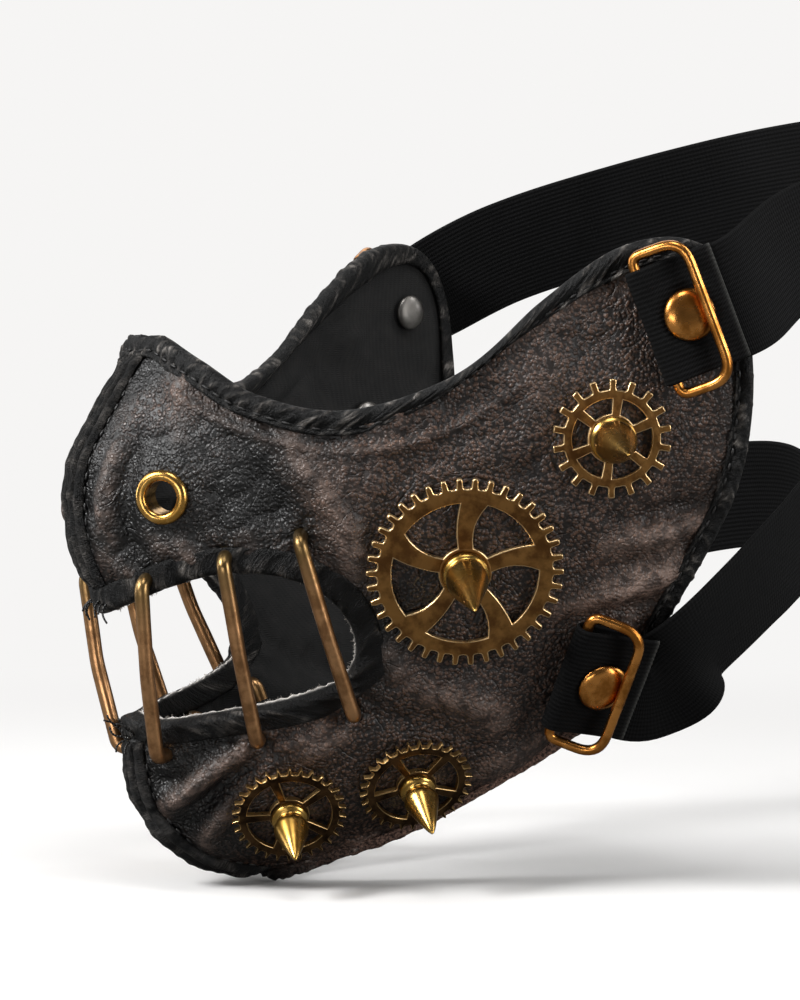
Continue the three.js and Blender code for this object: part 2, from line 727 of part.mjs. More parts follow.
function ringSolid(tab) {
  const lift = ringLift() - FLAP_SLOPE;
  const back = tab.rear.clone().applyAxisAngle(tab.across, -lift);
  const bar = tab.place(-BAR_AHEAD, tab.barHeight);
  const corner = (along, depth) => offset(offset(bar, tab.across, along), back, depth);
  const half = RING_LENGTH / 2;
  const corners = [
    corner(RING_BUTT, 0), corner(half, 0), corner(half, RING_DEPTH),
    corner(-half, RING_DEPTH), corner(-half, 0), corner(-RING_BUTT, 0),
  ];
  const bendAt = (i) => (i === 2 || i === 3 ? RING_REAR_CORNER : RING_FRONT_CORNER);
  return wireSolid(roundedWire(corners, bendAt, 3), WIRE_RADIUS);
}

// The domed head and stem of a strap rivet, and the cap that closes it inside the mask.
function rivetSolids(strap, tab) {
  const { point, normal } = skinFrame(...strap.at);
  const foot = tab.half + GAP;
  const capTop = insideSeat(strap.at, CAP_RADIUS);
  const depth = tab.rivet.clone().sub(offset(point, normal, capTop)).dot(tab.rivetAxis);
  const dome = [];
  const steps = 4;
  for (let i = 0; i <= steps; i += 1) {
    const angle = (Math.PI / 2) * (i / steps);
    dome.push([RIVET_RADIUS * Math.cos(angle), foot + RIVET_DOME * Math.sin(angle)]);
  }
  dome[steps][0] = 0;
  const stemFoot = -depth - CAP_SOCKET;
  const head = turned([[0, stemFoot], [RIVET_STEM, stemFoot], [RIVET_STEM, foot], ...dome], 12);
  const bore = RIVET_STEM + GAP;
  const back = turned([
    [0, -depth - CAP_HEIGHT], [CAP_RADIUS, -depth - CAP_HEIGHT], [CAP_RADIUS, -depth],
    [bore, -depth], [bore, stemFoot - GAP], [0, stemFoot - GAP],
  ], 10);
  return [stand(head, tab.rivet, tab.rivetAxis), stand(back, tab.rivet, tab.rivetAxis)];
}

function addStraps() {
  for (const strap of STRAPS) {
    const tab = strapTab(strap);
    const drill = stand(drillBit(RIVET_STEM + GAP, -6, 2), tab.rivet, tab.rivetAxis);
    const band = drilled(strapSolid(strap), [drill, mirrored(drill)]);
    const [head, back] = rivetSolids(strap, tab);
    addPiece(`${strap.name}_strap`, band, 'elastic');
    addPair(`${strap.name}_ring`, ringSolid(tab), 'copper');
    addPair(`${strap.name}_rivet`, head, 'copper');
    addPair(`${strap.name}_rivet_back`, back, 'steel');
  }
}

addLeather();
addGears();
addEyelets();
addBars();
addStraps();

export default group;
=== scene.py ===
# %% [markdown]
# # A leather half mask with gears and spikes
#
# The mask covers the nose, cheeks and chin. Two leather panels are sewn together down the
# front, bound with folded leather strips, and dressed with flat gears held by brass spikes,
# bent rods across the mouth, and elastic straps riveted round wire rings.
#
# The CAD frame already has every piece at its true size and place. It is loaded first and
# never changed. Each cell below makes one kind of piece again with the creases, ribs, bevels
# and finish of the real one, and says which CAD piece it stands for.

# %% Frame and units
import math

import bmesh
import bpy
import numpy as np
from mathutils import Matrix, Quaternion, Vector, noise


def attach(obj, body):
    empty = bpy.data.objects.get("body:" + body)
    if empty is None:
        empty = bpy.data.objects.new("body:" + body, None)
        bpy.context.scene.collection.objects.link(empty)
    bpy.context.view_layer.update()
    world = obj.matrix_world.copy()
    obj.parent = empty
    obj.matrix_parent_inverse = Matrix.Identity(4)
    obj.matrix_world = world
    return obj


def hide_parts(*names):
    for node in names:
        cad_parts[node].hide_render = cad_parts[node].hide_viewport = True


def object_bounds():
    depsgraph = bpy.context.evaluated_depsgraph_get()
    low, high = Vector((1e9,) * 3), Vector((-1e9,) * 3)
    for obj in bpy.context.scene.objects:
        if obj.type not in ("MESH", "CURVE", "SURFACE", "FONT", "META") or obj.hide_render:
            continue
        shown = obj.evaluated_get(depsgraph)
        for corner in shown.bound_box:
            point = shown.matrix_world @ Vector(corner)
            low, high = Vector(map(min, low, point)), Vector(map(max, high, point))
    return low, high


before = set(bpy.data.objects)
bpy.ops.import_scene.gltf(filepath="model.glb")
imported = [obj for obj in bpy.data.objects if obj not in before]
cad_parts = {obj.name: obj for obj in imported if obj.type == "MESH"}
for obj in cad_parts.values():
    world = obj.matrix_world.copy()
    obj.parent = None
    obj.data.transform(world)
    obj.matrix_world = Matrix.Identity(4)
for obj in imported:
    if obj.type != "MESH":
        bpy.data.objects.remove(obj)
cad_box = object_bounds()
MM = 0.001
print("CAD box", [list(corner) for corner in cad_box])

# %% [markdown]
# ## Camera, floor and light
#
# A long lens a little under a metre away looks at the wearer's left front, almost level. It
# could be placed by eye, but its aim and focal length are known, so they are set directly.
# Seven soft area lights stand round the mask as softboxes do in a studio: one above the front,
# one overhead, a tall one beside the ear, a low wide one, two tall narrow ones that draw the
# outline, and one on the far side. Dark leather and bright metal both need broad, gentle
# highlights. The floor and background are pale to the eye and shed little light, so that the
# leather stays dark, and far from the mask the floor fades into the background.

# %% Camera
AIM = Vector((0, -22.5, 31.7)) * MM
AZIMUTH, ELEVATION, DISTANCE = 65, 3, 0.9
FOCAL_LENGTH = 144.2


def aimed(item, azimuth, elevation, distance):
    """Stands a camera or lamp so many degrees round and up from the aim, looking at it."""
    az, el = math.radians(azimuth), math.radians(elevation)
    away = Vector((math.sin(az) * math.cos(el), -math.cos(az) * math.cos(el), math.sin(el)))
    item.location = AIM + away * distance
    item.rotation_mode = "QUATERNION"
    item.rotation_quaternion = (-away).to_track_quat("-Z", "Y")
    bpy.context.scene.collection.objects.link(item)


camera = bpy.data.objects.new("camera", bpy.data.cameras.new("camera"))
camera.data.lens = FOCAL_LENGTH
camera.data.clip_start = 0.01
aimed(camera, AZIMUTH, ELEVATION, DISTANCE)
bpy.context.scene.camera = camera
print("camera at", tuple(round(c, 3) for c in camera.location))

# %% Lights
# name, azimuth and elevation of the light seen from the mask, distance, width, height, watts
LIGHTS = [
    ("key", 2, 34, 0.8, 0.28, 0.28, 9),
    ("over", 70, 66, 0.8, 0.3, 0.3, 2.2),
    ("fill", 122, 6, 1.0, 0.3, 0.8, 7.5),
    ("low", 40, -2, 0.9, 0.5, 0.12, 1.5),
    ("rim_front", -42, 14, 0.9, 0.2, 1.0, 4),
    ("rim_back", 158, 34, 0.9, 0.2, 0.9, 4.5),
    ("far_side", 250, 40, 1.0, 0.7, 0.7, 2),
]
for name, azimuth, elevation, distance, width, height, watts in LIGHTS:
    lamp = bpy.data.lights.new(name, "AREA")
    lamp.shape = "RECTANGLE"
    lamp.size, lamp.size_y, lamp.energy = width, height, watts
    aimed(bpy.data.objects.new(name, lamp), azimuth, elevation, distance)
print(len(LIGHTS), "soft lights")


# %% Node helper and colours
def to_linear(code):
    """The linear colour of an sRGB hex code."""
    shares = [int(code[i:i + 2], 16) / 255 for i in (1, 3, 5)]
    return (*[s / 12.92 if s <= 0.04045 else ((s + 0.055) / 1.055) ** 2.4 for s in shares], 1)


def add_node(tree, kind, inputs=(), out=0, **settings):
    """Adds a node with its settings, sets or links its inputs, and gives one output.
    Inputs are listed in order, or given by name or number."""
    made = tree.nodes.new("ShaderNode" + kind)
    for key, value in settings.items():
        setattr(made, key, value)
    numbered = inputs if isinstance(inputs, dict) else dict(enumerate(inputs))
    for key, value in numbered.items():
        if isinstance(value, bpy.types.NodeSocket):
            tree.links.new(value, made.inputs[key])
        else:
            made.inputs[key].default_value = value
    return made.outputs[out] if made.outputs else None


# settings that many nodes share
COLOURS = {"out": 2, "data_type": "RGBA"}
SMOOTH = {"interpolation_type": "SMOOTHSTEP"}
TIMES, TIMES_PLUS = {"operation": "MULTIPLY"}, {"operation": "MULTIPLY_ADD"}
BACKDROP = to_linear("#f6f5f4")
world = bpy.data.worlds.new("studio")
world.use_nodes = True
sky = world.node_tree
sky.nodes.clear()
seen, shed = (
    add_node(sky, "Background", {"Color": BACKDROP, "Strength": strength})
    for strength in (1.0, 0.06)
)
by_eye = add_node(sky, "LightPath", out="Is Camera Ray")
add_node(sky, "OutputWorld", {"Surface": add_node(sky, "MixShader", [by_eye, shed, seen])})
bpy.context.scene.world = world
bpy.context.scene.view_settings.view_transform = "Standard"
print("world", world.name)

# %% Floor
FLOOR_REACH, FADE_START, FADE_END = 12, 0.12, 0.5
floor_mesh = bpy.data.meshes.new("floor")
bm = bmesh.new()
bmesh.ops.create_grid(bm, x_segments=1, y_segments=1, size=FLOOR_REACH)
bmesh.ops.translate(bm, vec=(0, 0, cad_box[0][2]), verts=bm.verts)
bm.to_mesh(floor_mesh)
bm.free()
floor = bpy.data.objects.new("floor", floor_mesh)
bpy.context.scene.collection.objects.link(floor)
paper = bpy.data.materials.new("matt_paper_sweep")
paper.use_nodes = True
tree = paper.node_tree
tree.nodes.clear()
by_eye = add_node(tree, "LightPath", out="Is Camera Ray")
tone = add_node(tree, "Mix", {
    0: by_eye, 6: to_linear("#6a6a69"), 7: to_linear("#dedddc"),
}, **COLOURS)
lit = add_node(tree, "BsdfPrincipled", {
    "Base Color": tone, "Roughness": 0.9, "Specular IOR Level": 0.1,
})
glow = add_node(tree, "Emission", {"Color": BACKDROP, "Strength": 1.0})
place = add_node(tree, "TexCoord", out="Object")
reach = add_node(tree, "VectorMath", [place], "Value", operation="LENGTH")
far = add_node(tree, "MapRange", [reach, FADE_START, FADE_END], **SMOOTH)
share = add_node(tree, "Math", [far, by_eye], **TIMES)
sweep = add_node(tree, "MixShader", [share, lit, glow])
add_node(tree, "OutputMaterial", {"Surface": sweep})
floor_mesh.materials.append(paper)
print("floor at", round(cad_box[0][2], 4))

# %% [markdown]
# ## The skin of the mask
#
# Both leather panels lie on one smooth skin. It is measured round from the front seam (0) to
# the rear line (1), and down from the top (0) to the bottom (1), as in the CAD part. Smooth
# curves through a few points give the seam, the rear line and the two outlines. Everything
# else is laid on this skin, so a strip or a fold can be placed by saying where it is on it.

# %% Curves and directions
SECTION_BOW, SECTION_LIFT = 1.85, 1.5
SEAM_LINE = [
    (-84, 68), (-92.5, 54), (-99.5, 41), (-100, 27), (-94.5, 12),
    (-88, -4), (-87.5, -19), (-84.5, -34), (-72.5, -46), (-53, -51),
]
REAR_LINE = [
    (71, 12, 100), (76, 26, 72), (74, 27, 46), (65.5, 21.5, 22),
    (54, 12.5, 2), (40, -0.5, -18), (21, -20, -38),
]
MOUTH_OUTLINE = [
    (0, 0.462), (0.1, 0.453), (0.19, 0.441), (0.28, 0.428), (0.36, 0.421), (0.43, 0.427),
    (0.49, 0.445), (0.535, 0.475), (0.565, 0.515), (0.583, 0.56), (0.592, 0.6),
    (0.582, 0.635), (0.54, 0.652), (0.46, 0.66), (0.33, 0.658), (0.17, 0.653), (0, 0.632),
]
OUTER_OUTLINE = [
    (0, 0), (0.12, 0.012), (0.28, 0.075), (0.42, 0.155), (0.56, 0.208), (0.69, 0.184),
    (0.8, 0.1), (0.91, 0.052), (0.985, 0.08), (0.985, 0.22), (0.988, 0.4),
    (0.985, 0.58), (1.01, 0.74), (0.995, 0.9), (0.86, 0.99), (0.5, 1), (0, 1),
]
GAP = 0.3
SEAM_GAP = 0.01       # the sewn front seam is drawn tight, so no light shows through it
LEATHER, LINING, TAPE = 1.2, 0.6, 1.0
INSIDE = -LEATHER - GAP - LINING - GAP
print("the inside lies", round(-INSIDE, 1), "mm under the face of the leather")


def curve_at(points, share):
    """Spots on a smooth curve through points, at shares from 0 to 1."""
    points = np.asarray(points, float)
    ends = np.vstack([2 * points[0] - points[1], points, 2 * points[-1] - points[-2]])
    spans = len(points) - 1
    where = np.clip(share, 0, 1) * spans
    span = np.minimum(where.astype(int), spans - 1)
    u = (where - span)[:, None]
    a, b, c, d = (ends[span + i] for i in range(4))
    bend = (2 * a - 5 * b + 4 * c - d) * u ** 2 + (3 * b - a - 3 * c + d) * u ** 3
    return 0.5 * (2 * b + (c - a) * u + bend)


def unit(vectors):
    return vectors / np.linalg.norm(vectors, axis=-1, keepdims=True)


def ease(low, high, value):
    """0 below low, 1 above high, and a smooth step between."""
    share = np.clip((value - low) / (high - low), 0, 1)
    return share * share * (3 - 2 * share)


# %% Skin
def skin(around, down):
    """Points on the outside of the left cheek, in millimetres."""
    level = np.clip(down, 0, 1)
    front = curve_at(SEAM_LINE, level)
    rear = curve_at(REAR_LINE, level)
    share = np.maximum(around, SEAM_GAP / 2 / rear[:, 0])
    return np.stack([
        rear[:, 0] * share,
        front[:, 0] + (rear[:, 1] - front[:, 0]) * share ** SECTION_BOW,
        front[:, 1] + (rear[:, 2] - front[:, 1]) * share ** SECTION_LIFT,
    ], axis=1)


def skin_frame(around, down):
    """Points, outward normals, and the directions towards the rear and up."""
    step = 0.002
    beside = np.maximum(around, 0.01)
    rearward = skin(beside + step, down) - skin(beside - step, down)
    downward = skin(around, down + step) - skin(around, down - step)
    normal = unit(np.cross(downward, rearward))
    normal[around < 1e-6, 0] = 0
    normal = unit(normal)
    rearward = unit(rearward)
    return skin(around, down), normal, rearward, np.cross(normal, rearward)


def frame_at(at):
    """The skin frame at one place, as four vectors."""
    return [part[0] for part in skin_frame(np.array([at[0]]), np.array([at[1]]))]


def panel_at(along, across):
    """Places between the mouth edge (across 0) and the outer edge (across 1)."""
    inner = curve_at(MOUTH_OUTLINE, along)
    outer = curve_at(OUTER_OUTLINE, along)
    spot = inner + (outer - inner) * across[:, None]
    return spot[:, 0], spot[:, 1]


def strip_share(along, edge, width):
    """The share of the way across a panel that a strip of some width takes at one edge."""
    rim = np.full_like(along, edge)
    here = skin(*panel_at(along, rim))
    far = skin(*panel_at(along, 1 - rim))
    ahead = skin(*panel_at(np.minimum(along + 0.01, 1), rim))
    behind = skin(*panel_at(np.maximum(along - 0.01, 0), rim))
    slant = np.linalg.norm(np.cross(unit(ahead - behind), unit(far - here)), axis=1)
    return width / (np.linalg.norm(far - here, axis=1) * np.maximum(slant, 0.5))


def edge_length(edge, steps=400):
    """Shares along an edge and the length in millimetres up to each of them."""
    along = np.linspace(0, 1, steps)
    spots = skin(*panel_at(along, np.full(steps, float(edge))))
    pieces = np.linalg.norm(np.diff(spots, axis=0), axis=1)
    return along, np.concatenate([[0], np.cumsum(pieces)])


for title, edge in (("mouth edge", 0), ("outer edge", 1)):
    print(title, round(edge_length(edge)[1][-1], 1), "mm long on each side")

# %% [markdown]
# ## How pieces are made and placed
#
# Most soft pieces here are strips: something with one cross-section that follows a line. A
# grid with one side along the line and the other round the section can be bent into any of
# them, so one helper makes the grid and moves its points. Turned pieces, such as spikes, are
# a profile spun round an axis. The right half is the left half in a mirror, with its faces
# turned to point outwards again.


# %% Mesh helpers
def finish_mesh(bm, name, material, sharp=None):
    """An object at the origin from a bmesh in metres, smooth apart from edges over sharp."""
    mesh = bpy.data.meshes.new(name)
    bm.to_mesh(mesh)
    bm.free()
    mesh.shade_smooth()
    if sharp is not None:
        mesh.set_sharp_from_angle(angle=math.radians(sharp))
    mesh.materials.append(material)
    piece = bpy.data.objects.new(name, mesh)
    bpy.context.scene.collection.objects.link(piece)
    return piece


def bent_grid(columns, rows, place, closed=False, values=None):
    """A grid bent to shape. place(u, v) gives the spots in mm; closed joins v = 1 to v = 0.
    values is {attribute name: function of u, v}, kept on the points of the mesh."""
    bm = bmesh.new()
    bm.loops.layers.uv.new("UVMap")
    bmesh.ops.create_grid(bm, x_segments=columns, y_segments=rows, size=0.5, calc_uvs=True)
    flat = np.array([point.co[:2] for point in bm.verts]) + 0.5
    u, v = np.clip(flat[:, 0], 0, 1), np.clip(flat[:, 1], 0, 1)
    for key, value_at in (values or {}).items():
        layer = bm.verts.layers.float.new(key)
        for point, value in zip(bm.verts, value_at(u, v)):
            point[layer] = value
    for point, spot in zip(bm.verts, place(u, v) * MM):
        point.co = spot
    if closed:
        bmesh.ops.remove_doubles(bm, verts=bm.verts, dist=1e-7)
        rims = [edge for edge in bm.edges if edge.is_boundary]
        bmesh.ops.holes_fill(bm, edges=rims, sides=0)
        bmesh.ops.recalc_face_normals(bm, faces=bm.faces)
    return bm


def spun(profile, steps, bm=None):
    """A profile of (radius, height) in mm spun round the z axis, in metres."""
    bm = bm or bmesh.new()
    points = [bm.verts.new((radius * MM, 0, height * MM)) for radius, height in profile]
    edges = [bm.edges.new(pair) for pair in zip(points, points[1:])]
    bmesh.ops.spin(
        bm, geom=points + edges, cent=(0, 0, 0), axis=(0, 0, 1), dvec=(0, 0, 0),
        angle=2 * math.pi, steps=steps, use_merge=True,
    )
    bmesh.ops.remove_doubles(bm, verts=bm.verts, dist=1e-7)
    bmesh.ops.recalc_face_normals(bm, faces=bm.faces)
    return bm


def standing(point, axis, turn=0):
    """The matrix that stands a piece made round +z on a point in mm, along an axis."""
    tilt = Vector((0, 0, 1)).rotation_difference(Vector(axis))
    spin = Quaternion((0, 0, 1), turn)
    return Matrix.Translation(Vector(point) * MM) @ (tilt @ spin).to_matrix().to_4x4()


def in_mirror(piece, name):
    """The same piece on the wearer's right."""
    bm = bmesh.new()
    bm.from_mesh(piece.data)
    bmesh.ops.scale(bm, vec=(-1, 1, 1), verts=bm.verts)
    bmesh.ops.reverse_faces(bm, faces=bm.faces)
    mesh = bpy.data.meshes.new(name)
    bm.to_mesh(mesh)
    bm.free()
    for material in piece.data.materials:
        mesh.materials.append(material)
    twin = bpy.data.objects.new(name, mesh)
    bpy.context.scene.collection.objects.link(twin)
    for modifier in piece.modifiers:
        copy = twin.modifiers.new(modifier.name, modifier.type)
        copy.thickness, copy.offset = modifier.thickness, modifier.offset
        copy.use_even_offset = modifier.use_even_offset
    return twin


def settle(piece, nodes, body="mask"):
    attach(piece, body)
    if nodes:
        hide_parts(*nodes)


def settle_pair(piece, node, moving=False):
    """Names a left piece, makes the right one, and puts both on their bodies."""
    twin = in_mirror(piece, piece.name.replace("left_", "right_"))
    for side, half in (("left", piece), ("right", twin)):
        names = [f"{side}_{node}"] if node else []
        settle(half, names, f"{side}_{node}" if moving else "mask")
    print(piece.name, "and its mirror:", len(piece.data.polygons), "faces each")


def turned_pair(name, profile, steps, place, finish, sharp, node):
    """A turned piece stood in its place, and its mirror."""
    bm = spun(profile, steps)
    bmesh.ops.transform(bm, matrix=place, verts=bm.verts)
    settle_pair(finish_mesh(bm, f"left_{name}", finish, sharp=sharp), node)


def noise_at(spots, size, seed=0):
    """Smooth noise from -1 to 1 at spots in mm, with features of a given size."""
    shift = Vector((seed * 7.3, seed * 3.1, seed * 5.7))
    return np.array([noise.noise(Vector(spot / size) + shift) for spot in spots])


# %% [markdown]
# ## Leather
#
# The panels are full-grain leather, dyed black and rubbed back so that brown shows through on
# the cheeks. Up close it is a field of tiny pebbles with darker valleys. A picture of leather
# could be wrapped round it, but cells of the grain's real size, about 0.85 mm, give the same
# look at any distance. The points of the mesh store three shares for the colour: where the dye
# is worn to brown, with a painted pool of light at the rear of the cheek; where hands polish
# ridges paler, with painted highlight on the raised folds, the bottom edge and the rear; and
# darker rims round the bar holes, with painted shade in the hollows of the folds. Leather is not
# a metal, its IOR is about 1.5, and it is satin: half rough in the valleys, smoother on the
# pebbles.


# %% Finish helpers
def start_finish(name):
    """An empty material, its nodes, and the place on the piece that its patterns follow."""
    material = bpy.data.materials.new(name)
    material.use_nodes = True
    material.node_tree.nodes.clear()
    coords = add_node(material.node_tree, "TexCoord", out="Object")
    print("finish:", name)
    return material, material.node_tree, coords


def end_finish(tree, inputs):
    """The surface of a finish, from its colour, roughness and relief."""
    add_node(tree, "OutputMaterial", {"Surface": add_node(tree, "BsdfPrincipled", inputs)})


# %% Leather finish
PEBBLE = 0.00085      # grain pebbles a little under a millimetre across
WANDER = 0.0009       # how far noise pushes them out of round
leather, tree, coords = start_finish("rubbed_black_grain_leather")
wander = add_node(tree, "TexNoise", {
    "Vector": coords, "Scale": 1 / 0.0016, "Detail": 2.0,
}, "Color")
shifted = add_node(tree, "VectorMath", [wander, (WANDER, WANDER, WANDER), coords], **TIMES_PLUS)
cells = add_node(tree, "TexVoronoi", {
    "Vector": shifted, "Scale": 1 / PEBBLE, "Randomness": 1.0,
}, feature="F1")
lot = add_node(tree, "SeparateColor", [cells.node.outputs["Color"]])
lot = add_node(tree, "MapRange", [lot, 0.1, 0.9, 0.72, 1.0], **SMOOTH)
domed = add_node(tree, "MapRange", [cells, 0.2, 0.7, 1.0, 0.0], **SMOOTH)
pebble = add_node(tree, "Math", [domed, lot], **TIMES)
patch, stain, cloud, pores = (
    add_node(tree, "TexNoise", {
        "Vector": coords, "Scale": 1 / size, "Detail": detail, "Roughness": roughness,
    })
    for size, detail, roughness in (
        (0.0032, 3.0, 0.6), (0.014, 5.0, 0.62), (0.03, 3.0, 0.5), (0.0003, 2.0, 0.55),
    )
)
wear_and_rear_light, polish_and_highlight, hole_rim_and_hollow_shade = (
    add_node(tree, "Attribute", out="Fac", attribute_name=name)
    for name in ("wear_and_rear_light", "polish_and_highlight", "hole_rim_and_hollow_shade")
)
wear_and_rear_light = add_node(tree, "Math", [stain, 0.8, wear_and_rear_light], **TIMES_PLUS)
wear_and_rear_light = add_node(tree, "Math", [cloud, 0.5, wear_and_rear_light], **TIMES_PLUS)
# dye worn to brown, with the painted pool of light at the rear of the cheek
wear_and_light_share = add_node(tree, "MapRange", [wear_and_rear_light, 0.72, 1.5], **SMOOTH)
patchy = add_node(tree, "MapRange", [patch, 0.32, 0.66, 0.35, 1.0], **SMOOTH)
touched = add_node(tree, "Math", [pebble, patchy], **TIMES)
valley, crown = (
    add_node(tree, "Mix", {0: wear_and_light_share, 6: to_linear(black), 7: to_linear(brown)}, **COLOURS)
    for black, brown in (("#060606", "#120b08"), ("#212020", "#60483b"))
)
dyed = add_node(tree, "Mix", {0: touched, 6: valley, 7: crown}, **COLOURS)
patchy = add_node(tree, "MapRange", [patch, 0.35, 0.65, 0.2, 1.0], **SMOOTH)
polish_and_highlight_share = add_node(tree, "Math", [polish_and_highlight, patchy], **TIMES)
# paler where polished, and painted highlight on ridges, the bottom edge and the rear
dyed = add_node(tree, "Mix", {0: polish_and_highlight_share, 6: dyed, 7: to_linear("#937c70")}, **COLOURS)
# darker rims round the bar holes, and painted shade in the hollows
dyed = add_node(tree, "Mix", {0: hole_rim_and_hollow_shade, 6: dyed, 7: to_linear("#060505")}, **COLOURS)
pores = add_node(tree, "Math", [pores, 0.03], **TIMES)
height = add_node(tree, "Math", [domed, 0.2, pores], **TIMES_PLUS)
creases = add_node(tree, "TexNoise", {
    "Vector": coords, "Scale": 1 / 0.007, "Detail": 2.0, "Roughness": 0.5, "Distortion": 0.6,
})
line = add_node(tree, "Math", [creases, 0.5], operation="SUBTRACT")
line = add_node(tree, "Math", [line], operation="ABSOLUTE")
line = add_node(tree, "MapRange", [line, 0.0, 0.03], **SMOOTH)
height = add_node(tree, "Math", [line, 0.16, height], **TIMES_PLUS)
height = add_node(tree, "Math", [patch, 0.35, height], **TIMES_PLUS)
end_finish(tree, {
    "Base Color": dyed,
    "Roughness": add_node(tree, "MapRange", [touched, 0.0, 1.0, 0.48, 0.3], **SMOOTH),
    "Specular IOR Level": 0.42,
    "Normal": add_node(tree, "Bump", {"Height": height, "Distance": MM, "Strength": 1.0}),
})
print("pebbles", PEBBLE * 1000, "mm")

# %% [markdown]
# ## Folds in the leather
#
# Leather that is pulled round a face and sewn to a stiff edge never lies smooth: it folds
# towards the corners of the mouth, puckers round every rod that pierces it, and swells beside
# the binding. A cloth simulation would make folds, but not these ones, so each fold is a line
# on the skin with a height and a width, and softer unevenness comes from noise. Under the
# gears, the eyelet and the strap ends the leather is pressed flat.

# %% Hard pieces on the leather
GEAR_PLACES = [
    ("large", "large", (0.72, 0.47), 0.91, "long"),
    ("medium", "medium", (0.862, 0.297), 0.07, "long"),
    ("small_front", "small", (0.486, 0.846), 0.1, "short"),
    ("small_rear", "small", (0.76, 0.856), 0.5, "short"),
]
GEAR_RADIUS = {"large": 21.2, "medium": 12.75, "small": 12.5}
EYELET_AT = (0.283, 0.296)
BARS = [
    ("front", (0.212, 0.42), (0.178, 0.7)),
    ("middle", (0.384, 0.401), (0.432, 0.704)),
    ("rear", (0.506, 0.386), (0.606, 0.69)),
]
STRAPS = [
    ("upper", (0.938, 0.142), 0.2, (0, -0.25, 0.97),
     [(70.5, 39, 88), (62, 66, 97), (38, 91, 105), (0, 100, 108)]),
    ("lower", (0.955, 0.706), -0.4, (0, -0.2, 0.98),
     [(57.5, 24.5, 4), (47, 50, 20), (28, 69, 28), (0, 76, 31)]),
]
pressed = [(frame_at(at)[0], GEAR_RADIUS[kind]) for _, kind, at, _, _ in GEAR_PLACES]
pressed += [(frame_at(EYELET_AT)[0], 6.5)]
pressed += [(frame_at(strap[1])[0], 15) for strap in STRAPS]
bar_feet = [frame_at(at)[0] for _, upper, lower in BARS for at in (upper, lower)]
print(len(pressed), "places where the leather is pressed flat,", len(bar_feet), "pierced by bars")

# %% Fold lines
# height and width in mm, then the line on the skin
FOLDS = [
    (1.5, 2.8, [(0.07, 0.80), (0.27, 0.758), (0.37, 0.732), (0.438, 0.698)]),
    (-1.4, 2.5, [(0.12, 0.835), (0.28, 0.79), (0.41, 0.755), (0.49, 0.715)]),
    (1.3, 2.4, [(0.2, 0.86), (0.33, 0.82), (0.5, 0.765), (0.6, 0.728)]),
    (0.7, 1.8, [(0.417, 0.736), (0.5, 0.725), (0.56, 0.706)]),
    (-0.8, 2.2, [(0.12, 0.73), (0.2, 0.745), (0.3, 0.715)]),
    (0.9, 2.6, [(0.153, 0.2), (0.147, 0.25), (0.14, 0.31), (0.15, 0.36)]),
    (-0.9, 2.4, [(0.2, 0.18), (0.205, 0.25), (0.2, 0.32), (0.19, 0.39)]),
    (0.6, 2.4, [(0.11, 0.38), (0.16, 0.41), (0.2, 0.44)]),
    (1.1, 4.5, [(0.5, 0.25), (0.551, 0.336), (0.578, 0.42), (0.6, 0.47)]),
    (-0.8, 3.5, [(0.44, 0.27), (0.47, 0.33), (0.47, 0.38)]),
    (0.7, 2.8, [(0.245, 0.362), (0.316, 0.392), (0.34, 0.43)]),
    (1.3, 3.2, [(0.84, 0.565), (0.912, 0.548), (0.985, 0.51)]),
    (-1.1, 2.8, [(0.83, 0.6), (0.9, 0.59), (0.98, 0.56)]),
    (1.0, 2.8, [(0.88, 0.46), (0.936, 0.452), (0.985, 0.43)]),
    (-0.8, 2.6, [(0.88, 0.425), (0.94, 0.42), (0.985, 0.4)]),
    (0.9, 4.0, [(0.632, 0.6), (0.7, 0.668), (0.8, 0.72), (0.86, 0.76)]),
    (-0.7, 3.2, [(0.62, 0.68), (0.68, 0.72), (0.76, 0.765)]),
    (0.45, 1.3, [(0.25, 0.118), (0.36, 0.177), (0.457, 0.226), (0.55, 0.262)]),
    (0.4, 1.3, [(0.55, 0.262), (0.635, 0.268), (0.713, 0.243), (0.777, 0.195)]),
    (0.6, 2.8, [(0.22, 0.06), (0.26, 0.12), (0.3, 0.2)]),
    (0.7, 3.4, [(0.86, 0.885), (0.93, 0.85), (0.985, 0.8)]),
    (-0.6, 2.8, [(0.55, 0.93), (0.7, 0.94), (0.85, 0.92)]),
]


def distance_to_line(spots, line):
    """How far each spot is from a line through points, and the share along the line."""
    nearest = np.full(len(spots), np.inf)
    share = np.zeros(len(spots))
    spans = len(line) - 1
    for i, (start, end) in enumerate(zip(line, line[1:])):
        step = end - start
        along = np.clip((spots - start) @ step / (step @ step), 0, 1)
        away = np.linalg.norm(spots - start - along[:, None] * step, axis=1)
        closer = away < nearest
        nearest = np.where(closer, away, nearest)
        share = np.where(closer, (i + along) / spans, share)
    return nearest, share


fold_lines = []
for height, width, places in FOLDS:
    shares = np.linspace(0, 1, 13)
    bends = curve_at(places, shares)
    fold_lines.append((height, width, skin(bends[:, 0], bends[:, 1])))
print(len(fold_lines), "folds")


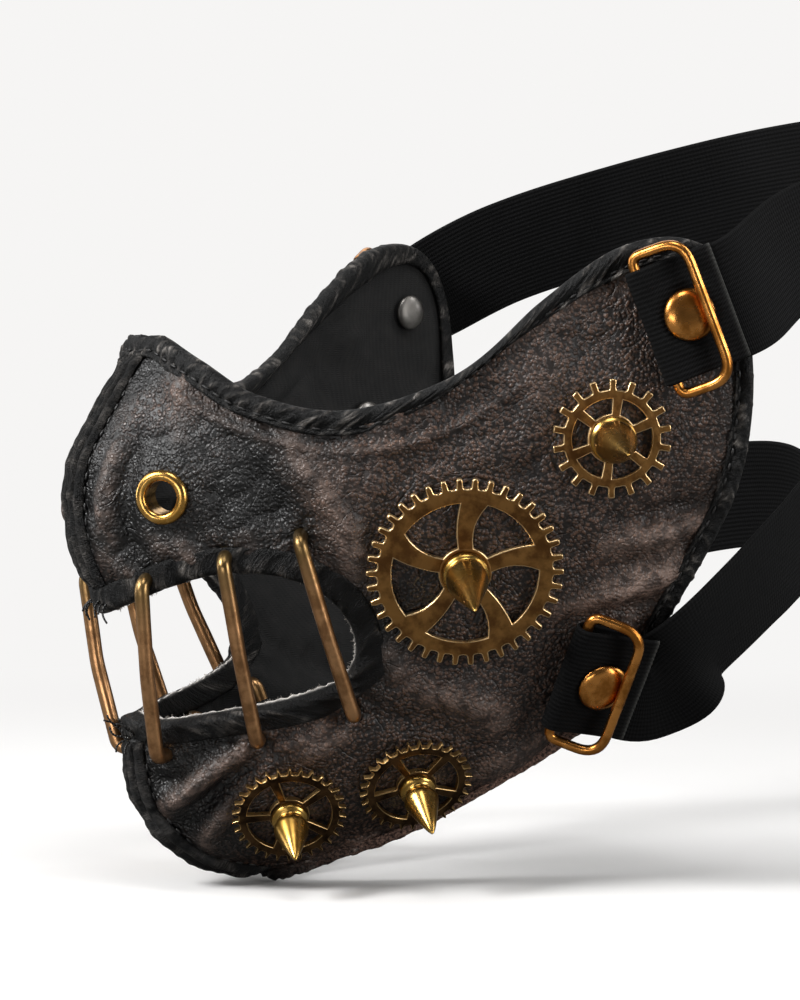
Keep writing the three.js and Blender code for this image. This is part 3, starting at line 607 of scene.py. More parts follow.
# %% Relief of the leather
def relief(spots, across):
    """How far the leather stands off the plain skin at each spot, in mm."""
    rise = np.zeros(len(spots))
    for height, width, line in fold_lines:
        away, share = distance_to_line(spots, line)
        taper = np.sin(np.pi * np.clip(share, 0.04, 0.96)) ** 0.5
        rise += 2.0 * height * np.exp(-(away / width) ** 2) * taper
    rise += 1.3 * noise_at(spots, 13) + 0.38 * noise_at(spots, 5.5, 1)
    rise -= 0.65 * (1 - np.abs(noise_at(spots, 8.5, 2))) ** 7
    for centre, radius in pressed:
        rise *= ease(radius - 2, radius + 5, np.linalg.norm(spots - centre, axis=1))
    rise *= ease(2.5, 7.5, spots[:, 0])
    rise *= ease(0, 0.1, across) * ease(0, 0.07, 1 - across)
    for foot in bar_feet:
        away = np.linalg.norm(spots - foot, axis=1)
        around = np.arctan2(spots[:, 2] - foot[2], spots[:, 1] - foot[1])
        rise += 0.22 * np.sin(7 * around) * np.exp(-((away - 3.4) / 1.8) ** 2)
        rise -= 0.6 * np.exp(-(away / 2.1) ** 2)
    return rise


def leather_spots(u, v, depth):
    """Spots of a sheet that lies at a depth under the face of the leather."""
    around, down = panel_at(u, v)
    point, normal, _, _ = skin_frame(around, down)
    return point + normal * (relief(point, v) + depth)[:, None]


# %% Wear of the leather
def wear_and_rear_light_at(u, v):
    """Where the black dye has worn to brown, plus a painted pool of light at the rear of the cheek:
    0 black, 1 brown.
    """
    around, down = panel_at(u, v)
    cheek = ease(0.42, 0.66, around + 0.25 * (down - 0.3))
    mouth_corner = np.exp(-(((around - 0.62) / 0.07) ** 2 + ((down - 0.56) / 0.13) ** 2))
    chin = np.exp(-(((around - 0.5) / 0.22) ** 2 + ((down - 0.74) / 0.06) ** 2))
    nose_top = np.exp(-(((around - 0.24) / 0.09) ** 2 + ((down - 0.12) / 0.05) ** 2))
    lip = np.exp(-(((around - 0.12) / 0.06) ** 2 + ((down - 0.43) / 0.04) ** 2))
    edges = ease(0.02, 0.12, v) * ease(0.0, 0.1, 1 - v) * ease(0.02, 0.09, around)
    under = ease(0.88, 0.97, down)
    # painted pool of light: the rear of the cheek is made browner and paler
    rear = np.exp(-(((around - 0.93) / 0.09) ** 2 + ((down - 0.5) / 0.14) ** 2))
    value = 0.12 + 0.62 * cheek + 0.5 * rear - 0.6 * mouth_corner
    value = value + 0.45 * chin + 0.5 * nose_top + 0.3 * lip
    return np.clip(value * (0.35 + 0.65 * edges) + 0.5 * under, 0, 1)


def polish_and_highlight_at(u, v):
    """Paler where handling has polished the ridges, with painted highlight on the raised folds,
    along the bottom edge and at the rear of the cheek.
    """
    around, down = panel_at(u, v)
    point = skin(around, down)
    ridges = np.zeros(len(u))
    for height, width, line in fold_lines:
        if height > 0:
            away, _ = distance_to_line(point, line)
            ridges = np.maximum(ridges, height * np.exp(-(away / width / 0.7) ** 2))
    top_crease = np.exp(-(((1 - v) - 0.09) / 0.03) ** 2)
    top_crease = top_crease * ease(0.2, 0.3, around) * ease(0.5, 0.4, u)
    # painted highlight along the bottom edge
    bottom = ease(0.955, 0.99, down) * ease(0.3, 0.6, around)
    # painted highlight at the rear of the cheek
    rear = np.exp(-(((around - 0.95) / 0.06) ** 2 + ((down - 0.52) / 0.12) ** 2))
    # the ridges and raised leather: partly polish, partly painted highlight
    value = 0.19 * ridges + 0.1 * np.clip(relief(point, v), 0, 1.5)
    value = value + 0.25 * top_crease + 0.35 * bottom + 0.3 * rear
    return np.clip(value, 0, 0.6)


def hole_rim_and_hollow_shade_at(u, v):
    """Darker round the holes that the bars go through, and painted shade in the hollows of the
    folds.
    """
    point = skin(*panel_at(u, v))
    # painted shade: the deeper the leather sinks, the darker it is coloured
    dark = np.clip(-0.45 * relief(point, v) - 0.1, 0, 0.6)
    for foot in bar_feet:
        dark = np.maximum(dark, 1 - ease(1.9, 3.0, np.linalg.norm(point - foot, axis=1)))
    return dark


# %% Cheek panels
PANEL_ALONG, PANEL_ACROSS = 300, 104      # faces round the mouth, and from the mouth outwards


def cut_hole(bm, centre, radius):
    """Removes the faces round a hole whose edge other pieces cover."""
    middle = Vector(centre) * MM
    inside = [f for f in bm.faces if (f.calc_center_median() - middle).length < radius * MM]
    bmesh.ops.delete(bm, geom=inside, context="FACES")


def thicken(piece, thickness):
    """Gives a sheet its thickness, inwards from the face that shows."""
    wall = piece.modifiers.new("thickness", "SOLIDIFY")
    wall.thickness, wall.offset, wall.use_even_offset = thickness * MM, -1, False


bm = bent_grid(
    PANEL_ALONG, PANEL_ACROSS, lambda u, v: leather_spots(u, v, 0.0),
    values={"wear_and_rear_light": wear_and_rear_light_at, "polish_and_highlight": polish_and_highlight_at, "hole_rim_and_hollow_shade": hole_rim_and_hollow_shade_at},
)
cut_hole(bm, frame_at(EYELET_AT)[0], 4.4)
cheek = finish_mesh(bm, "left_leather_panel", leather)
thicken(cheek, LEATHER)
settle_pair(cheek, "cheek_panel")

# %% [markdown]
# ## Lining
#
# A thin black backing is glued inside the leather. It is seen through the back of the mask
# and through the mouth. It is a matt, closely woven cloth, so its threads, 0.5 mm apart, are
# drawn as two crossed sets of waves, and it has no shine.

# %% Lining finish
WAVE = 2 * math.pi / 20     # the length of one wave of a wave texture at scale 1
LINING_PITCH = 0.0005
lining_cloth, tree, coords = start_finish("matt_black_lining_cloth")
weave = [
    add_node(tree, "TexWave", {
        "Vector": coords, "Scale": WAVE / LINING_PITCH, "Distortion": 0.6, "Detail": 1.0,
    }, "Fac", wave_type="BANDS", bands_direction=direction)
    for direction in ("X", "Z")
]
threads = add_node(tree, "Math", weave, **TIMES)
lint = add_node(tree, "TexNoise", {
    "Vector": coords, "Scale": 1 / 0.004, "Detail": 5.0, "Roughness": 0.55,
})
height = add_node(tree, "Math", [lint, 0.5, threads], **TIMES_PLUS)
share = add_node(tree, "MapRange", [lint, 0.35, 0.7], **SMOOTH)
end_finish(tree, {
    "Base Color": add_node(tree, "Mix", {
        0: share, 6: to_linear("#050505"), 7: to_linear("#121110"),
    }, **COLOURS),
    "Roughness": 0.92,
    "Normal": add_node(tree, "Bump", {"Height": height, "Distance": 0.12 * MM, "Strength": 0.7}),
})

# %% Linings
bm = bent_grid(200, 70, lambda u, v: leather_spots(u, v, -LEATHER - GAP))
cut_hole(bm, frame_at(EYELET_AT)[0] + frame_at(EYELET_AT)[1] * (INSIDE + GAP), 4.6)
lining = finish_mesh(bm, "left_lining_cloth", lining_cloth)
thicken(lining, LINING)
settle_pair(lining, "cheek_lining")

# %% [markdown]
# ## Binding, mouth trim and seam welts
#
# Strips of thin black leather are folded over the outer edge and the mouth edge and sewn
# down, and two raised strips cover the ends of the front seam. Thin leather crumples as it is
# folded, so the strips are full of short creases across them, their crests paler grey: partly
# dye rubbed off, partly painted highlight. The section of each strip is a closed line of
# points, given by how far each is in from the edge and how far off the leather. The creases
# are real bumps in the mesh, because they show in the outline, and "raised" stores the crests
# for the colour. The mouth trim's cut edge is left raw, and its pale suede shows as a thin line.

# %% Trim finish
trim_leather, tree, coords = start_finish("creased_black_thin_leather")
fine, blotch = (
    add_node(tree, "TexNoise", {
        "Vector": coords, "Scale": 1 / size, "Detail": detail, "Roughness": roughness,
    })
    for size, detail, roughness in ((0.0006, 4.0, 0.65), (0.004, 3.0, 0.55))
)
raised, hem, raw = (
    add_node(tree, "Attribute", out="Fac", attribute_name=name)
    for name in ("raised", "hem", "raw")
)
uv = add_node(tree, "UVMap", uv_map="UVMap")
across_strip = add_node(tree, "Mapping", {"Vector": uv, "Scale": (230, 7, 1)})
folds = add_node(tree, "TexNoise", {
    "Vector": across_strip, "Scale": 1.0, "Detail": 3.0, "Roughness": 0.6, "Distortion": 0.5,
})
patchy = add_node(tree, "MapRange", [blotch, 0.38, 0.62, 0.2, 1.0], **SMOOTH)
crest = add_node(tree, "Math", [raised, patchy], **TIMES)
sharp_folds = add_node(tree, "MapRange", [folds, 0.4, 0.62, 0.1, 1.0], **SMOOTH)
crest = add_node(tree, "Math", [crest, sharp_folds], **TIMES)
# grey crests: partly rubbed dye, partly painted highlight on the creases
colour = add_node(tree, "Mix", {
    0: crest, 6: to_linear("#050505"), 7: to_linear("#78726c"),
}, **COLOURS)
# the hem's pinkish brown: partly worn leather, partly painted highlight on the turned edge
hem_brown_and_highlight = add_node(tree, "Mix", {
    0: add_node(tree, "MapRange", [fine, 0.35, 0.65], **SMOOTH),
    6: to_linear("#1a1210"), 7: to_linear("#86695c"),
}, **COLOURS)
colour = add_node(tree, "Mix", {0: hem, 6: colour, 7: hem_brown_and_highlight}, **COLOURS)
patchy = add_node(tree, "MapRange", [blotch, 0.36, 0.5, 0.35, 1.0], **SMOOTH)
raw = add_node(tree, "Math", [raw, patchy], **TIMES)
colour = add_node(tree, "Mix", {0: raw, 6: colour, 7: to_linear("#efeae4")}, **COLOURS)
height = add_node(tree, "Math", [folds, 1.6, fine], **TIMES_PLUS)
end_finish(tree, {
    "Base Color": colour,
    "Roughness": add_node(tree, "MapRange", [crest, 0.0, 1.0, 0.55, 0.36], **SMOOTH),
    "Specular IOR Level": add_node(tree, "MapRange", [crest, 0.0, 1.0, 0.2, 0.6], **SMOOTH),
    "Normal": add_node(tree, "Bump", {"Height": height, "Distance": 0.4 * MM, "Strength": 1.0}),
})

# %% Strip sections
BINDING_WIDTH, REAR_BINDING_WIDTH = 3.9, 2.6
TRIM_WIDTH, TRIM_SWELL = 3.9, 2.2
# In from the edge as a share of the strip's width, or off the edge in mm, and the height off
# the leather in mm, round the section from the inner end of the outer flap.
BINDING_SECTION = [
    (1.0, 0, 0.06), (1.0, 0, 0.55), (0.9, 0, 0.95), (0.78, 0, 0.78), (0.68, 0, 0.6),
    (0.58, 0, 0.85), (0.42, 0, 1.3), (0.24, 0, 1.5), (0.08, 0, 1.5), (0, 0.35, 1.28),
    (0, 0.9, 0.6), (0, 1.2, -0.3), (0, 1.28, -1.2), (0, 1.15, -2.2), (0, 0.75, -3.0),
    (0.05, 0, -3.4), (0.35, 0, -3.45), (0.7, 0, -3.4), (1.0, 0, -3.2), (1.0, 0, -2.45),
    (0.5, 0, -2.42), (0, 0.15, -2.3), (0, 0.35, -1.1), (0, 0.2, 0.2), (0.5, 0, 0.3),
]
TRIM_SECTION = [
    (1.0, 0, 0.05), (1.0, 0, 0.4), (0.92, 0, 0.72), (0.8, 0, 0.85), (0.6, 0, 1.0),
    (0.4, 0, 1.12), (0.2, 0, 1.25), (0.05, 0, 1.28), (0, 0.45, 1.05), (0, 0.85, 0.45),
    (0, 1.1, -0.5), (0, 1.2, -1.5), (0, 1.3, -2.2), (0, 1.5, -2.65), (0, 1.45, -3.0),
    (0, 1.0, -3.1), (0, 0.5, -3.2), (0.3, 0, -3.35), (0.7, 0, -3.3), (1.0, 0, -3.1),
    (1.0, 0, -2.45), (0.5, 0, -2.42), (0, 0.15, -2.3), (0, 0.35, -1.1), (0, 0.2, 0.2),
    (0.5, 0, 0.3),
]


print("sections of", len(BINDING_SECTION), "and", len(TRIM_SECTION), "points")


# %% Strip helpers
def binding_width(along):
    back = ease(0.4, 0.55, along)
    return BINDING_WIDTH + (REAR_BINDING_WIDTH - BINDING_WIDTH) * back


def trim_width(along):
    return TRIM_WIDTH + TRIM_SWELL * np.sin(np.pi * along) ** 4


def section_spots(section, edge, width_at, u, v):
    """Spots round a folded strip: u along the edge, v round its section."""
    ring = np.array(section + section[:1])
    share, off, height = (curve_at(ring, v)[:, i] for i in range(3))
    inward = np.maximum(share, 0) * strip_share(u, edge, width_at(u))
    around, down = panel_at(u, 1 - inward if edge else inward)
    point, normal, _, _ = skin_frame(around, down)
    rim = np.full_like(u, float(edge))
    ahead = skin(*panel_at(np.minimum(u + 0.005, 1), rim))
    behind = skin(*panel_at(np.maximum(u - 0.005, 0), rim))
    outward = np.cross(normal, ahead - behind)
    ends = (u < 1e-6) | (u > 1 - 1e-6)
    outward[ends, 0] = 0
    outward = unit(outward) * (1 if edge else -1)
    return point, normal, outward, np.maximum(off, 0), height


def crumple(edge, u, v, pitch, seed):
    """Creases across a strip, from 0 in the hollows to 1 on the crests."""
    along, lengths = edge_length(edge)
    run = np.interp(u, along, lengths)
    tilted = np.stack([run / pitch + 1.6 * np.sin(9 * v), 5 * v, np.zeros_like(v)], axis=1)
    small = noise_at(tilted, 1.0, seed)
    broad = noise_at(np.stack([run / pitch / 2.7, 4 * v, np.ones_like(v)], axis=1), 1.0, seed + 1)
    return np.clip(0.5 + 0.75 * small + 0.4 * broad, 0, 1)


# %% Edge binding
def binding_spots(u, v):
    point, normal, outward, off, height = section_spots(BINDING_SECTION, 1, binding_width, u, v)
    outer = ease(-3.6, -1.5, height)
    crest = crumple(1, u, v, 1.5, 3)
    lump = 0.85 * (crest - 0.6) * outer * ease(0.06, 0.4, height)
    hem = hem_at(u, v)
    height = height * (1 - 0.35 * hem * (height > 0)) + lump * (1 - 0.6 * hem)
    off = off + lump * 0.6 * (off > 0.2)
    return point + outward * off[:, None] + normal * height[:, None]


def hem_at(u, v):
    """Under the jaw the edge is a plain turned hem of the panel's own leather, coloured pinkish
    brown: partly worn leather, partly painted highlight.
    """
    return ease(0.70, 0.78, u) * ease(1.0, 0.86, u)


def binding_raised(u, v):
    return np.clip((crumple(1, u, v, 1.5, 3) - 0.55) * 2.2, 0, 1)


def nowhere(u, v):
    return np.zeros_like(u)


bm = bent_grid(
    560, 32, binding_spots, closed=True,
    values={"raised": binding_raised, "hem": hem_at, "raw": nowhere},
)
settle_pair(finish_mesh(bm, "left_edge_strip", trim_leather), "edge_binding")


# %% Mouth trim
RAW_SHARE = (TRIM_SECTION.index((0, 1.5, -2.65)) + 0.3) / len(TRIM_SECTION)


def raw_at(u, v):
    """The cut suede edge at the rim of the mouth."""
    return np.exp(-((v - RAW_SHARE) / 0.036) ** 2)


def trim_spots(u, v):
    point, normal, outward, off, height = section_spots(TRIM_SECTION, 0, trim_width, u, v)
    crest = crumple(0, u, v, 2.1, 5)
    outer = ease(-3.0, -1.5, height) * ease(0.04, 0.4, np.abs(height))
    height = height + 0.7 * (crest - 0.55) * outer
    ragged = raw_at(u, v) * (0.55 * noise_at(np.stack([u * 150, v * 0, v * 0], axis=1), 1.0, 8))
    off = off + ragged + 0.2 * (crest - 0.5) * (off > 0.3)
    return point + outward * off[:, None] + normal * height[:, None]


def trim_raised(u, v):
    return np.clip((crumple(0, u, v, 2.1, 5) - 0.6) * 1.4, 0, 1)


bm = bent_grid(
    300, 36, trim_spots, closed=True,
    values={"raised": trim_raised, "hem": nowhere, "raw": raw_at},
)
settle_pair(finish_mesh(bm, "left_mouth_strip", trim_leather), "mouth_trim")

# %% Seam welts
# across in mm and height in mm, round the section: two rolls with a groove between them
WELT_SECTION = [
    (0, 0.4), (0.05, 1.1), (0.4, 1.6), (1.0, 1.85), (1.6, 1.7), (2.05, 1.15), (2.35, 0.72),
    (2.65, 1.1), (3.0, 1.55), (3.5, 1.72), (4.05, 1.5), (4.5, 0.95), (4.8, 0.2),
    (3.6, 0.08), (2.4, 0.08), (1.2, 0.1),
]


def welt_spots(top, bottom, seed):
    def place(u, v):
        ring = np.array(WELT_SECTION + WELT_SECTION[:1])
        section = curve_at(ring, v)
        down = top + (bottom - top) * u
        beat = noise_at(np.stack([u * 9, v * 0, v * 0], axis=1), 1.0, seed)
        wave = noise_at(np.stack([u * 26, v * 5, v * 0], axis=1), 1.0, seed + 1)
        ends = ease(0, 0.05, u) * ease(0, 0.05, 1 - u)
        across = np.clip(section[:, 0] + 0.45 * beat * ease(0.1, 1.5, section[:, 0]), 0, 5.4)
        rise = section[:, 1] * (0.5 + 0.5 * ends) * (1 + 0.3 * beat)
        rise = rise + 0.3 * wave * ease(0.4, 1.2, section[:, 1])
        rear = curve_at(REAR_LINE, down)
        point, normal, _, _ = skin_frame(across / rear[:, 0], down)
        return point + normal * rise[:, None]
    return place


def welt_raised(u, v):
    wave = noise_at(np.stack([u * 26, v * 5, v * 0], axis=1), 1.0, 12)
    return np.clip(0.25 + wave, 0, 1) * 0.6


for title, top, bottom, seed in (("nose", 0.03, 0.425, 11), ("chin", 0.672, 0.97, 13)):
    bm = bent_grid(150, 40, welt_spots(top, bottom, seed), closed=True, values={
        "raised": welt_raised, "hem": nowhere, "raw": nowhere,
    })
    welt = finish_mesh(bm, f"left_{title}_seam_strip", trim_leather)
    settle_pair(welt, f"{title}_welt")

# %% [markdown]
# ## Stitches and loose threads
#
# Waxed black thread holds the strips down. Each stitch is a short rounded bar lying in the
# groove of the strip, 3.3 mm from the next, which is a usual pitch for hand-sewn leather.
# One small ball, stretched and placed again and again, makes them all. At the two lips the
# seam ends in a tuft of cut thread ends, and the raw edge of the mouth trim sheds fine pale
# fibres, each a thin cone.

# %% Thread finishes
thread, tree, coords = start_finish("waxed_black_thread")
twist = add_node(tree, "TexNoise", {
    "Vector": coords, "Scale": 1 / 0.0003, "Detail": 2.0, "Roughness": 0.55,
})
end_finish(tree, {
    "Base Color": add_node(tree, "Mix", {
        0: twist, 6: to_linear("#070707"), 7: to_linear("#1d1b1a"),
    }, **COLOURS),
    "Roughness": 0.5,
    "Normal": add_node(tree, "Bump", {"Height": twist, "Distance": 0.1 * MM, "Strength": 0.6}),
})
fibre, tree, coords = start_finish("pale_suede_fibre")
shade = add_node(tree, "TexNoise", {
    "Vector": coords, "Scale": 1 / 0.003, "Detail": 3.0, "Roughness": 0.55,
})
end_finish(tree, {
    "Base Color": add_node(tree, "Mix", {
        0: shade, 6: to_linear("#8f8880"), 7: to_linear("#cfc8c0"),
    }, **COLOURS),
    "Roughness": 0.95,
})


# %% Stitch helpers
STITCH_PITCH = 3.3
STITCH_LENGTH, STITCH_RADIUS = 1.05, 0.3       # half the length, and half the thickness
THREAD_RADIUS, THREAD_TIP, THREAD_STEPS = 0.25, 0.22, 6
GROOVE = 0.68         # the stitched groove, as a share of the binding's width
CENTRE_ROW, REAR_ROW = (2.35, 0.75), (5.0, 0.1)    # across the welt and up, in mm


def stitch(bm, spot, along, out):
    """One stitch lying along a direction."""
    side = np.cross(out, along)
    turn = Matrix((along, side, out)).transposed().to_4x4()
    size = Matrix.Diagonal((STITCH_LENGTH * MM, STITCH_RADIUS * MM, STITCH_RADIUS * MM, 1))
    place = Matrix.Translation(Vector(spot) * MM) @ turn @ size
    bmesh.ops.create_uvsphere(bm, u_segments=6, v_segments=5, radius=1, matrix=place)


def stitch_row(bm, spots, normals, height):
    """Stitches evenly spaced along a row of spots."""
    run = np.concatenate([[0], np.cumsum(np.linalg.norm(np.diff(spots, axis=0), axis=1))])
    for at in np.arange(STITCH_PITCH, run[-1], STITCH_PITCH):
        i = min(np.searchsorted(run, at), len(run) - 2)
        along = unit(spots[i + 1] - spots[i - 1])
        out = unit(normals[i] - along * (normals[i] @ along))
        stitch(bm, spots[i] + out * height, along, out)


def thread_end(bm, start, direction, length, droop):
    """A short cut end of thread: a chain of thin cones along a curve."""
    spot, heading = np.array(start, float), unit(np.array(direction, float))
    run = length / THREAD_STEPS
    for i in range(THREAD_STEPS):
        onward = unit(heading + np.array(droop) * (i / THREAD_STEPS))
        middle = spot + onward * (run / 2)
        bmesh.ops.create_cone(
            bm, segments=5, radius1=THREAD_RADIUS * MM, radius2=THREAD_TIP * MM, cap_ends=True,
            cap_tris=False, depth=run * 1.15 * MM, matrix=standing(middle, onward),
        )
        spot, heading = spot + onward * run, onward


# %% Stitches
bm = bmesh.new()
shares = np.linspace(0, 0.72, 600)
groove = np.full_like(shares, GROOVE) * strip_share(shares, 1, binding_width(shares))
spots, normals, _, _ = skin_frame(*panel_at(shares, 1 - groove))
stitch_row(bm, spots, normals, 0.72)
for top, bottom, steps in ((0.05, 0.41, 200), (0.69, 0.955, 160)):
    levels = np.linspace(top, bottom, steps)
    for across, height in (CENTRE_ROW, REAR_ROW):
        spots, normals, _, _ = skin_frame(across / curve_at(REAR_LINE, levels)[:, 0], levels)
        stitch_row(bm, spots, normals, height)
lip_tufts = [
    ((0.03, 0.445), (0.3, -1, -0.6), 4.2, (0, 0.5, -1.6)),
    ((0.045, 0.45), (0.5, -1, -0.2), 3.4, (0.4, 0, -1.2)),
    ((0.06, 0.45), (0.1, -0.9, -1.0), 4.8, (0.3, 0.8, -1)),
    ((0.02, 0.45), (0.6, -0.8, 0.3), 3.0, (0, 0, -1.5)),
    ((0.05, 0.655), (0.2, -1, 0.5), 4.6, (0, -0.4, 0.9)),
    ((0.04, 0.665), (0.4, -1, -0.1), 4.0, (0.2, 0, 1.2)),
    ((0.06, 0.66), (0.1, -0.7, 1.0), 5.0, (0, -1.2, 0.2)),
    ((0.03, 0.672), (0.5, -1, -0.5), 3.2, (0, 0.2, -1)),
]
for at, direction, length, droop in lip_tufts:
    point, normal, _, _ = frame_at(at)
    thread_end(bm, point + normal * 1.2, direction, length, droop)
settle_pair(finish_mesh(bm, "left_stitching", thread), None)

# %% Frayed mouth edge
FIBRES = 330
chance = np.random.default_rng(7)
bm = bmesh.new()
shares = chance.uniform(0.01, 0.99, FIBRES)
rim_share = np.full(FIBRES, RAW_SHARE)
roots = trim_spots(shares, rim_share)
_, normals, outward, _, _ = section_spots(TRIM_SECTION, 0, trim_width, shares, rim_share)
clumps = noise_at(np.stack([shares * 40, shares * 0, shares * 0], axis=1), 1.0, 21)
for root, normal, out, clump in zip(roots, normals, outward, clumps):
    lean = chance.normal(0, 0.6, 3)
    length = max(0.3, 0.45 + 0.6 * clump + chance.normal(0, 0.15))
    aim = unit(out + 0.5 * normal + lean)
    bmesh.ops.create_cone(
        bm, segments=3, radius1=0.07 * MM, radius2=0.02 * MM, depth=length * MM, cap_ends=True,
        cap_tris=False, matrix=standing(root + aim * (length / 2 - 0.1), aim),
    )
settle_pair(finish_mesh(bm, "left_frayed_fibres", fibre), None)

# %% [markdown]
# ## Metals
#
# Seven metal finishes are used. The gears and mouth bars are brass plated and then antiqued:
# dark brown in the hollows, bright where edges rub, and the two small gears are blackened. The
# spikes are turned yellow brass, the eyelets are thin gold-toned brass, the rings and rivets
# have a redder copper-gold plating, and the fittings inside are plain steel. A metal is fully
# metallic and keeps the default IOR, so its colour is its reflection, and its age shows in
# patches of colour and roughness. The gears store their rounded edges as "edge" and the bars
# their ends as "aged".


# %% Metal finishes
def metal(name, deep, bright, size, rough_low, rough_high, edge=None, aged=None):
    """A worn metal: two colours in patches of a given size, and bright edges or aged ends."""
    material, tree, coords = start_finish(name)
    patches, scuffs = (
        add_node(tree, "TexNoise", {
            "Vector": coords, "Scale": 1 / reach, "Detail": detail, "Roughness": broken,
        })
        for reach, detail, broken in ((size, 5.0, 0.6), (0.0006, 4.0, 0.7))
    )
    share = add_node(tree, "MapRange", [patches, 0.36, 0.64], **SMOOTH)
    colour = add_node(tree, "Mix", {0: share, 6: to_linear(deep), 7: to_linear(bright)}, **COLOURS)
    roughness = add_node(tree, "MapRange", [patches, 0.3, 0.7, rough_high, rough_low], **SMOOTH)
    if edge:
        rim = add_node(tree, "Attribute", out="Fac", attribute_name="edge")
        colour = add_node(tree, "Mix", {0: rim, 6: colour, 7: to_linear(edge)}, **COLOURS)
        smoother = add_node(tree, "MapRange", [rim, 0.0, 1.0, 1.0, 0.7], **SMOOTH)
        roughness = add_node(tree, "Math", [roughness, smoother], **TIMES)
    if aged:
        ends = add_node(tree, "Attribute", out="Fac", attribute_name="aged")
        colour = add_node(tree, "Mix", {0: ends, 6: colour, 7: to_linear(aged)}, **COLOURS)
    bump = add_node(tree, "Bump", {"Height": scuffs, "Distance": 0.03 * MM, "Strength": 0.6})
    end_finish(tree, {
        "Base Color": colour, "Metallic": 1.0, "Roughness": roughness, "Normal": bump,
    })
    return material


gear_bronze = metal("antiqued_brass_plate", "#5c3e21", "#99703f", 0.005, 0.34, 0.54, edge="#ecca96")
dark_bronze = metal(
    "blackened_brass_plate", "#281c12", "#59422a", 0.004, 0.36, 0.52, edge="#d0ac74",
)
bar_brass = metal("aged_brass_rod", "#805d3d", "#bd8f64", 0.005, 0.28, 0.46, aged="#6e5f3a")
spike_brass = metal("turned_yellow_brass", "#957336", "#c69f58", 0.008, 0.22, 0.32)
eyelet_brass = metal("gold_toned_brass", "#aa7f3c", "#d8aa62", 0.006, 0.2, 0.3)
ring_copper = metal("copper_gold_plate", "#9a6228", "#dc974e", 0.005, 0.22, 0.34)
plain_steel = metal("plain_steel", "#6d6a66", "#8d8a86", 0.004, 0.3, 0.45)
print("seven metals")

# %% [markdown]
# ## Gears
#
# The gears are flat castings with rounded edges: one with curved, flared spokes, one with
# long square teeth, and two fine-toothed ones under the chin. A flat curve with holes,
# thickness and a round bevel makes such a plate in one go, and it is turned into a mesh
# before it is stood on the leather. A low ring is added round each hub.

# %% Gear shapes
GEAR_THICKNESS, GEAR_FOOT, SCREW_RADIUS = 1.4, 0.35, 1.5
GEARS = {
    "large": dict(
        tip=42.4, depth=2.2, teeth=38, lead=0.6, rim=31.5, hub=11.5, spokes=5,
        at_hub=3.4, at_rim=6, sweep=-0.1, bows=(0.5, 1.2), bevel=0.3,
        tooth=[(0.0, 0), (0.05, 0.1), (0.09, 0.75), (0.13, 0.95), (0.19, 1), (0.37, 1),
               (0.43, 0.95), (0.47, 0.75), (0.51, 0.1), (0.56, 0), (0.78, -0.06)],
    ),
    "medium": dict(
        tip=25.5, depth=2.3, teeth=18, lead=0.6, rim=17.2, hub=10.6, spokes=6,
        at_hub=1.9, at_rim=2.3, sweep=0, bows=(0, 0), bevel=0.24,
        tooth=[(0.0, 0), (0.06, 0.05), (0.09, 0.2), (0.1, 0.9), (0.14, 1), (0.4, 1),
               (0.44, 0.9), (0.45, 0.2), (0.48, 0.05), (0.54, 0), (0.66, 0), (0.78, 0), (0.9, 0)],
    ),
    "small": dict(
        tip=25, depth=1.5, teeth=30, lead=0, rim=18.6, hub=8.8, spokes=5,
        at_hub=1.5, at_rim=2.1, sweep=0, bows=(0, 0), bevel=0.16,
        tooth=[(0.0, 0), (0.1, 0.15), (0.18, 0.8), (0.24, 1), (0.32, 1), (0.38, 0.8),
               (0.46, 0.15), (0.56, 0), (0.78, 0)],
    ),
}


print("the large gear is", GEARS["large"]["tip"], "mm across its teeth")


# %% Gear outlines
def on_circle(radius, angle):
    return (radius * math.cos(angle), radius * math.sin(angle))


def arc_points(radius, start, end, steps):
    return [on_circle(radius, start + (end - start) * i / steps) for i in range(steps + 1)]


def bowed(start, end, bow, steps=6):
    """Points between two spots on a line that bows anticlockwise, without the two spots."""
    (x0, y0), (x1, y1) = start, end
    length = math.hypot(x1 - x0, y1 - y0)
    across = (-(y1 - y0) / length, (x1 - x0) / length)
    points = []
    for i in range(1, steps):
        share = i / steps
        lift = 4 * bow * share * (1 - share)
        points.append((x0 + (x1 - x0) * share + across[0] * lift,
                       y0 + (y1 - y0) * share + across[1] * lift))
    return points


def gear_loops(gear):
    """The outline, the windows between the spokes and the bore, in mm."""
    root = gear["tip"] / 2 - gear["depth"]
    outline = []
    for i in range(gear["teeth"]):
        for share, rise in gear["tooth"]:
            angle = 2 * math.pi * (i + gear["lead"] + share) / gear["teeth"]
            outline.append(on_circle(root + gear["depth"] * rise, angle))
    loops = [outline]
    half = math.pi / gear["spokes"]
    in_hub = half - math.asin(gear["at_hub"] / gear["hub"])
    in_rim = half - math.asin(gear["at_rim"] / gear["rim"])
    bow_trailing, bow_leading = gear["bows"]
    for i in range(gear["spokes"]):
        middle = 2 * half * i
        far = middle + gear["sweep"]
        outer = arc_points(gear["rim"] / 2, far - in_rim, far + in_rim, 14)
        inner = arc_points(gear["hub"] / 2, middle + in_hub, middle - in_hub, 8)
        leading = bowed(outer[-1], inner[0], -bow_leading)
        trailing = bowed(inner[-1], outer[0], bow_trailing)
        loops.append(outer + leading + inner + trailing)
    loops.append(arc_points(SCREW_RADIUS + GAP, 0, 2 * math.pi, 16)[:-1])
    return loops


